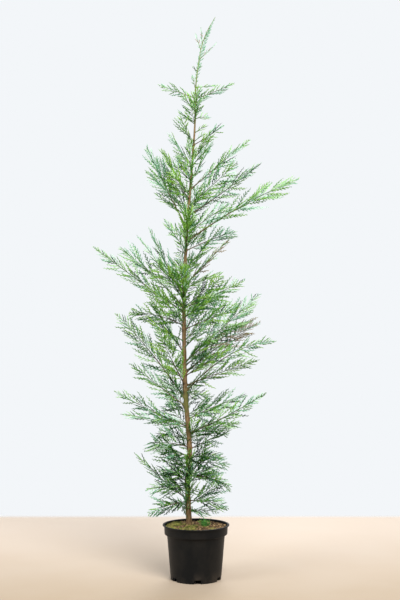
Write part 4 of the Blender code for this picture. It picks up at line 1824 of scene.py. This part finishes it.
@dataclass
class Pot:
    """The moulded nursery pot."""

    height: float = 0.210
    foot: float = 0.098
    neck: float = 0.1128
    collar: float = 0.1232
    lip: float = 0.130
    collar_height: float = 0.036
    lip_height: float = 0.004
    wall: float = 0.0022
    segments: int = 180
    drains: int = 6
    drain_width: float = 0.026
    drain_height: float = 0.015
    drain_inward: float = 0.014
    drain_turn: float = math.radians(4)
    drain_corner: float = 0.003
    sharp_from: float = math.radians(40)

    def profile(self) -> Array:
        """The pot's outline, from the middle of its underside, over the lip, to its floor.

        Returns:
            Rows of radius and height.
        """
        step = self.height - self.collar_height
        under = self.height - self.lip_height
        inside = self.collar - self.wall
        # Radius, height and rounding of each corner
        rows = np.array((
            (0.0, 0.0, 0),
            # The foot, then the small step above its band
            (self.foot, 0.0, 0.0025),
            (self.foot + 0.0007, 0.0135, 0.0006),
            (self.foot + 0.0016, 0.0145, 0.0006),
            # The step out to the collar, then the collar and the lip
            (self.neck, step - 0.003, 0.0016),
            (self.collar - 0.0006, step, 0.0014),
            (self.collar + 0.0008, under - 0.0002, 0.0014),
            (self.lip, under, 0.0016),
            (self.lip, self.height, 0.0017),
            # Down the inside, a wall's thickness further in
            (inside + 0.0016, self.height, 0.0016),
            (inside + 0.0008, self.height - 0.004, 0.0012),
            (inside, step + self.wall, 0.0014),
            (self.neck - self.wall, step - 0.002, 0.0012),
            (self.foot - self.wall, self.wall, 0.002),
            (0.0, self.wall, 0),
        ))
        return rounded(rows[:, :2], rows[:, 2])

    def cut_drains(self, pot: Object) -> None:
        """Cuts the drain notches through the foot.

        Args:
            pot: the turned pot.
        """
        half, rise, corner = self.drain_width / 2, self.drain_height, self.drain_corner
        outline = [(-half, -rise), (half, -rise), (half, rise - corner)]
        outline += [(half - corner, rise), (-half + corner, rise), (-half, rise - corner)]
        size = len(outline)
        ends = np.array((range(size)[::-1], range(size, 2 * size)))
        for k in range(self.drains):
            turn = self.drain_turn - math.pi / 2 + math.tau * k / self.drains
            outward = Vector((math.cos(turn), math.sin(turn), 0))
            sideways = Vector((-outward.y, outward.x, 0))
            points = [
                tuple(outward * (self.foot + inward) + sideways * x + Vector((0, 0, z)))
                for inward in (-self.drain_inward, self.drain_inward)
                for x, z in outline
            ]
            faces = (ends[:1], ends[1:], quads_between(2, size))
            cutter = add_mesh("drain_cutter", np.array(points), faces, pot.data.materials[0], False)
            notch = pot.modifiers.new("drain", "BOOLEAN")
            notch.object = cutter
            graph = bpy.context.evaluated_depsgraph_get()
            mesh = bpy.data.meshes.new_from_object(pot.evaluated_get(graph))
            pot.modifiers.clear()
            pot.data = mesh
            bpy.data.objects.remove(cutter)

    def build(self) -> None:
        """Builds the pot with its notches and finish."""
        points, faces = lathe(self.profile(), self.segments)
        piece = add_mesh("nursery_pot", points, faces, PlasticFinish().material())
        self.cut_drains(piece)
        piece.data.shade_smooth()
        piece.data.set_sharp_from_angle(angle=self.sharp_from)
        settle(piece, "pot_plastic", ("pot",))


@dataclass(frozen=True)
class Litter:
    """One kind of loose lump on the compost.

    Attributes:
        count: how many lumps.
        sizes: least and most half length.
        flat: thickness as a share of the length.
        finish: their finish, which also names the piece.
    """

    count: int
    sizes: Span
    flat: float
    finish: CompostFinish


LITTER = (
    Litter(1500, (0.0008, 0.0026), 0.55,
           CompostFinish("compost_crumbs", srgb(24, 17, 12), srgb(124, 96, 62), 240)),
    Litter(260, (0.003, 0.0075), 0.20,
           CompostFinish("bark_chips", srgb(70, 48, 32), srgb(196, 164, 118), 300)),
)


@dataclass(frozen=True)
class Tuft:
    """Little upright shoots on the compost.

    Attributes:
        heights: least and most length.
        girth: half thickness.
        lean: how far they lean, as a share of their height.
        curl: how far they curl.
        reach: longest leaf, as a share of the height.
        buried: how far their feet stand in the compost.
    """

    heights: Span
    girth: float
    lean: float
    curl: float = 0.2
    reach: float = 0.7
    buried: float = 0.001


@dataclass
class Compost:
    """The compost in the pot: a lumpy top with crumbs, bark chips, moss and a seedling."""

    trunk: TrunkLine
    rng: np.random.Generator
    level: float = 0.2062
    edge: float = 0.1205
    rings: int = 54
    segments: int = 150
    skirt: float = 0.012
    # The relief of the top: lumps, grain, a settled edge and a mound round the trunk
    low: float = 0.002
    lump_scale: float = 38
    lump_height: float = 0.0030
    grain_scale: float = 150
    grain_height: float = 0.0013
    settled: float = 0.004
    settled_power: float = 6
    mound: float = 0.003
    mound_radius: float = 0.03
    # Loose lumps and moss lie on this share of the top's area
    strewn: float = 0.93
    # The shape of a loose lump: its outline, and how that varies
    outline: tuple[Triple, ...] = (
        (1, 0, 0), (0.3, 0.8, 0), (-0.8, 0.6, 0), (-0.9, -0.5, 0), (0.2, -0.9, 0)
    )
    lump_top: float = 0.75
    lump_corners: Span = (0.65, 1.2)
    lump_widths: Span = (0.35, 0.9)
    lump_tilt: float = 0.35
    lump_lift: float = 0.6
    # Moss grows where noise and the nearness of the left edge pass a level
    moss: Tuft = Tuft((0.003, 0.0065), 0.0007, 0.45)
    moss_tries: int = 10_200
    moss_scale: float = 26
    moss_left: float = 0.35
    moss_spread: float = 0.08
    moss_from: float = 0.16
    seedling: Tuft = Tuft((0.012, 0.034), 0.0011, 0.30)
    seedling_count: int = 46
    seedling_place: Span = (0.033, -0.012)
    seedling_spread: Span = (0.008, 0.010)
    seedling_habit: Habit = Habit(
        spacing=0.004, first=0.2, last=0.95, angle=math.radians(42), angle_spread=0.2,
        roll_spread=0.8, envelope=FEATHER, lengths=(0.3, 0.6), least=0.002, reach=0,
        forward=0.2, girth=0.0008,
    )

    @staticmethod
    def lumps(x: Array, y: Array, scale: float, layer: float) -> Array:
        """Smooth noise over the compost, at a number of lumps a metre, from a layer of its own."""
        return lumpy(np.stack((x * scale, y * scale, np.full(len(x), layer)), axis=1))

    def surface(self, x: Array, y: Array) -> Array:
        """Height of the compost's top.

        Args:
            x: X of the places.
            y: Y of the places.

        Returns:
            The heights.
        """
        lumps = self.lump_height * self.lumps(x, y, self.lump_scale, layer=0.3)
        grain = self.grain_height * self.lumps(x, y, self.grain_scale, layer=4.1)
        outward = np.clip(np.hypot(x, y) / self.edge, 0, 1)
        settled = -self.settled * outward**self.settled_power
        centre = self.trunk.centre(np.array((self.trunk.foot,)))[0]
        apart = (x - centre[0]) ** 2 + (y - centre[1]) ** 2
        mound = self.mound * np.exp(-(apart / self.mound_radius**2))
        return self.level - self.low + lumps + grain + settled + mound

    def build_top(self, material: Material) -> None:
        """The lumpy top, with a skirt down inside the wall.

        Args:
            material: the compost.
        """
        radii = (self.edge * np.linspace(0, 1, self.rings + 1)[1:])[:, None]
        angles = turns(self.segments)
        x = np.concatenate(([0.0], (radii * np.cos(angles)).ravel()))
        y = np.concatenate(([0.0], (radii * np.sin(angles)).ravel()))
        points = np.stack((x, y, self.surface(x, y)), axis=1)
        rim = points[-self.segments:] - UP * self.skirt
        here, after = ring(self.segments)
        fan = np.stack((np.zeros(self.segments, dtype=int), 1 + here, 1 + after), axis=1)
        quads = quads_between(self.rings + 1, self.segments, 1)[:, (0, 3, 2, 1)]
        piece = add_mesh("compost_top", np.vstack((points, rim)), (fan, quads), material)
        settle(piece, "compost", ("compost",))

    def scatter(self, count: int) -> tuple[Array, Array]:
        """Random places on the compost.

        Args:
            count: how many.

        Returns:
            X and Y of the places.
        """
        radius = self.edge * np.sqrt(self.rng.uniform(0.0, self.strewn, count))
        turn = self.rng.uniform(0, math.tau, count)
        return radius * np.cos(turn), radius * np.sin(turn)

    def build_litter(self, kind: Litter) -> None:
        """Small irregular lumps, strewn on the compost.

        Args:
            kind: their number, size and finish.
        """
        count, flat = kind.count, kind.flat
        x, y = self.scatter(count)
        sizes = self.rng.uniform(*kind.sizes, count)
        turn = self.rng.uniform(0, math.tau, count)
        tilt = self.rng.normal(0, self.lump_tilt, (count, 2))
        corners = len(self.outline)
        low = self.rng.uniform(*self.lump_corners, (count, corners, 1)) * self.outline
        high = low * (self.lump_top, self.lump_top, 1)
        shape = np.concatenate((high + (0, 0, flat), low - (0, 0, flat)), axis=1)
        shape[..., 1] *= self.rng.uniform(*self.lump_widths, count)[:, None]
        cos, sin = np.cos(turn)[:, None], np.sin(turn)[:, None]
        along, across, up = (shape[..., axis] for axis in range(3))
        turned = (
            along * cos - across * sin,
            along * sin + across * cos,
            up + along * tilt[:, :1] + across * tilt[:, 1:],
        )
        lift = sizes * flat * self.lump_lift
        base = np.stack((x, y, self.surface(x, y) + lift), axis=1)
        points = np.stack(turned, axis=-1) * sizes[:, None, None] + base[:, None]
        faces = [(0, k, k + 1) for k in range(1, corners - 1)]
        faces += [(corners + k, corners + (k + 1) % corners, (k + 1) % corners)
                  for k in range(corners)]
        faces += [(corners + k, (k + 1) % corners, k) for k in range(corners)]
        mesh = copies(faces, count, 2 * corners)
        finish = kind.finish
        piece = add_mesh(finish.name, points.reshape(-1, 3), (mesh,), finish.material(), False)
        settle(piece, "compost")

    def plant(self, kind: Tuft, x: Array, y: Array) -> Shoots:
        """Little upright shoots at some places.

        Args:
            kind: their size and stance.
            x: X of the places.
            y: Y of the places.

        Returns:
            The shoots.
        """
        count = len(x)
        heights = self.rng.uniform(*kind.heights, count)
        along = unit(UP + self.rng.normal(0, kind.lean, (count, 3)))
        return Shoots.lay(
            root=np.stack((x, y, self.surface(x, y) - kind.buried), axis=1),
            along=along,
            curl=self.rng.normal(0, kind.curl, (count, 3)),
            face=unit(np.cross(along, self.rng.normal(0, 1, (count, 3)))),
            length=heights,
            reach=heights * kind.reach,
            girth=kind.girth,
        )

    def build_moss(self) -> None:
        """Moss, thickest on the left."""
        x, y = self.scatter(self.moss_tries)
        patch = self.lumps(x, y, self.moss_scale, layer=9.7)
        left = np.clip(-x / self.edge, -1, 1)
        stray = self.rng.normal(0, self.moss_spread, len(x))
        chosen = patch + self.moss_left * left + stray > self.moss_from
        points, faces = Cord(1).clothe(self.plant(self.moss, x[chosen], y[chosen]))
        settle(add_mesh("moss", points, (faces,), MossFinish().material()), "foliage_fresh")

    def build_seedling(self) -> None:
        """A small green seedling beside the trunk."""
        x, y = (
            place + self.rng.normal(0, spread, self.seedling_count)
            for place, spread in zip(self.seedling_place, self.seedling_spread)
        )
        blades = self.plant(self.seedling, x, y)
        bundle = Bundle()
        bundle.add(*Cord(3).clothe(blades))
        bundle.add(*Cord(1).clothe(blades.sprout(self.seedling_habit, self.rng)))
        finish = MossFinish("seedling", srgb(52, 98, 44), srgb(92, 150, 66))
        settle(bundle.build("seedling", finish.material()), "foliage_fresh")

    def build(self) -> None:
        """Builds the compost and all that lies on it."""
        self.build_top(CompostFinish().material())
        for kind in LITTER:
            self.build_litter(kind)
        self.build_moss()
        self.build_seedling()


# --- Studio ---


class Softbox(NamedTuple):
    """A square area light.

    Attributes:
        name: its name.
        place: where it stands.
        size: length of its side.
        power: watts.
        colour: its colour.
    """

    name: str
    place: Triple
    size: float
    power: float
    colour: Colour


SOFTBOXES = (
    Softbox("key", (1.2, -3.4, 4.2), 2.4, 345, (1.0, 0.985, 0.96)),
    Softbox("fill", (-3.0, -2.0, 2.2), 1.8, 70, (0.96, 0.98, 1.0)),
    Softbox("back", (0.6, 3.0, 3.4), 2.0, 90, (1.0, 1.0, 1.0)),
)


@dataclass
class Studio:
    """A plain pale floor, soft light from large sources, and the camera."""

    camera_place: Triple = (0.0157, -4.03, 0.953)
    camera_pitch: float = math.radians(1.87)
    lens: float = 61.6
    sensor: float = 36
    aim: Triple = (0, 0, 1.05)
    backdrop: Colour = srgb(243, 246, 249)
    surround: Colour = (0.98, 0.99, 1.0)
    surround_strength: float = 0.50
    # Painted shade and light: the floor is darker near the front and paler towards the back
    floor_near: Colour = srgb(158, 139, 114)
    floor_far: Colour = srgb(210, 195, 180)
    floor_blend: Span = (-0.9, 1.3)
    floor_radius: float = 5.0
    floor_segments: int = 96
    floor_drop: float = 0.0002
    floor_roughness: float = 0.62
    floor_gloss: float = 0.25
    grain: Pattern = Pattern(3.0, 4, span=(0.3, 0.7))
    grain_share: float = 0.03
    # The floor fades out round this place, and towards the back
    fade_centre: float = 0.5
    floor_fade: Span = (1.5, 3.0)
    floor_back: Span = (1.30, 1.40)

    def build_camera(self) -> None:
        """The camera, a little below the crown's middle."""
        camera = bpy.data.cameras.new("camera")
        camera.lens = self.lens
        camera.sensor_width = self.sensor
        obj = bpy.data.objects.new("camera", camera)
        obj.location = self.camera_place
        obj.rotation_euler = (math.pi / 2 + self.camera_pitch, 0, 0)
        bpy.context.scene.collection.objects.link(obj)
        bpy.context.scene.camera = obj

    def build_floor(self) -> None:
        """A plain floor, painted darker near the front for shade and paler towards the back for
        light, that fades out on every side.
        """
        shader = Shader("studio_floor")
        x, y = shader.axis("X"), shader.axis("Y")
        grain = shader.noise(self.grain).ramp(*self.grain.span) * self.grain_share
        colour = shader.mix(y.ramp(*self.floor_blend), self.floor_near, self.floor_far)
        colour = shader.mix(grain, colour, self.backdrop)
        shader.dress(
            Base_Color=colour, Roughness=self.floor_roughness, Specular_IOR_Level=self.floor_gloss
        )
        away = x * x + (y - self.fade_centre) * (y - self.fade_centre)
        near, far = self.floor_fade
        gone = 1 - (1 - away.ramp(near**2, far**2)) * (1 - y.ramp(*self.floor_back))
        clear = shader.node("ShaderNodeBsdfTransparent")
        shader.show(gone, shader.surface, clear, "Material Output")
        profile = np.array([(self.floor_radius, 0.0), (0.0, 0.0)])
        floor = add_mesh("floor", *lathe(profile, self.floor_segments), shader.material)
        floor.location.z = -self.floor_drop

    def build_world(self) -> None:
        """An even, bright surround; the camera sees it as the plain backdrop."""
        world = bpy.data.worlds.new("studio")
        world.use_nodes = True
        nodes = Nodes(world.node_tree)
        light = world.node_tree.nodes["Background"]
        nodes.feed(light, {"Color": self.surround, "Strength": self.surround_strength})
        seen = nodes.node("ShaderNodeBackground", {"Color": self.backdrop})
        ray = nodes.node("ShaderNodeLightPath")
        nodes.show(ray.outputs["Is Camera Ray"], light, seen, "World Output")
        bpy.context.scene.world = world

    def add_softbox(self, box: Softbox) -> None:
        """A softbox that looks at the crown's middle.

        Args:
            box: its place, size and light.
        """
        light = bpy.data.lights.new(box.name, "AREA")
        light.shape = "SQUARE"
        light.size = box.size
        light.energy = box.power
        light.color = box.colour
        obj = bpy.data.objects.new(box.name, light)
        obj.location = box.place
        obj.rotation_mode = "QUATERNION"
        aim = Vector(self.aim) - Vector(box.place)
        obj.rotation_quaternion = aim.to_track_quat("-Z", "Y")
        bpy.context.scene.collection.objects.link(obj)

    def build(self) -> None:
        """Builds the camera, the surround, the floor and the softboxes."""
        self.build_camera()
        self.build_world()
        self.build_floor()
        for box in SOFTBOXES:
            self.add_softbox(box)
        bpy.context.scene.view_settings.view_transform = "Standard"


def main() -> None:
    """Builds the scene, piece by piece."""
    logging.basicConfig(level=logging.INFO, format="%(name)s: %(message)s")
    rng = np.random.default_rng(SEED)
    trunk = TrunkLine()
    Studio().build()
    Pot().build()
    Compost(trunk, rng).build()
    crown = Crown(trunk, rng)
    crown.grow()
    Wood(trunk, crown).build()
    crown.build()
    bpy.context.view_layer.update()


if __name__ == "__main__":
    main()
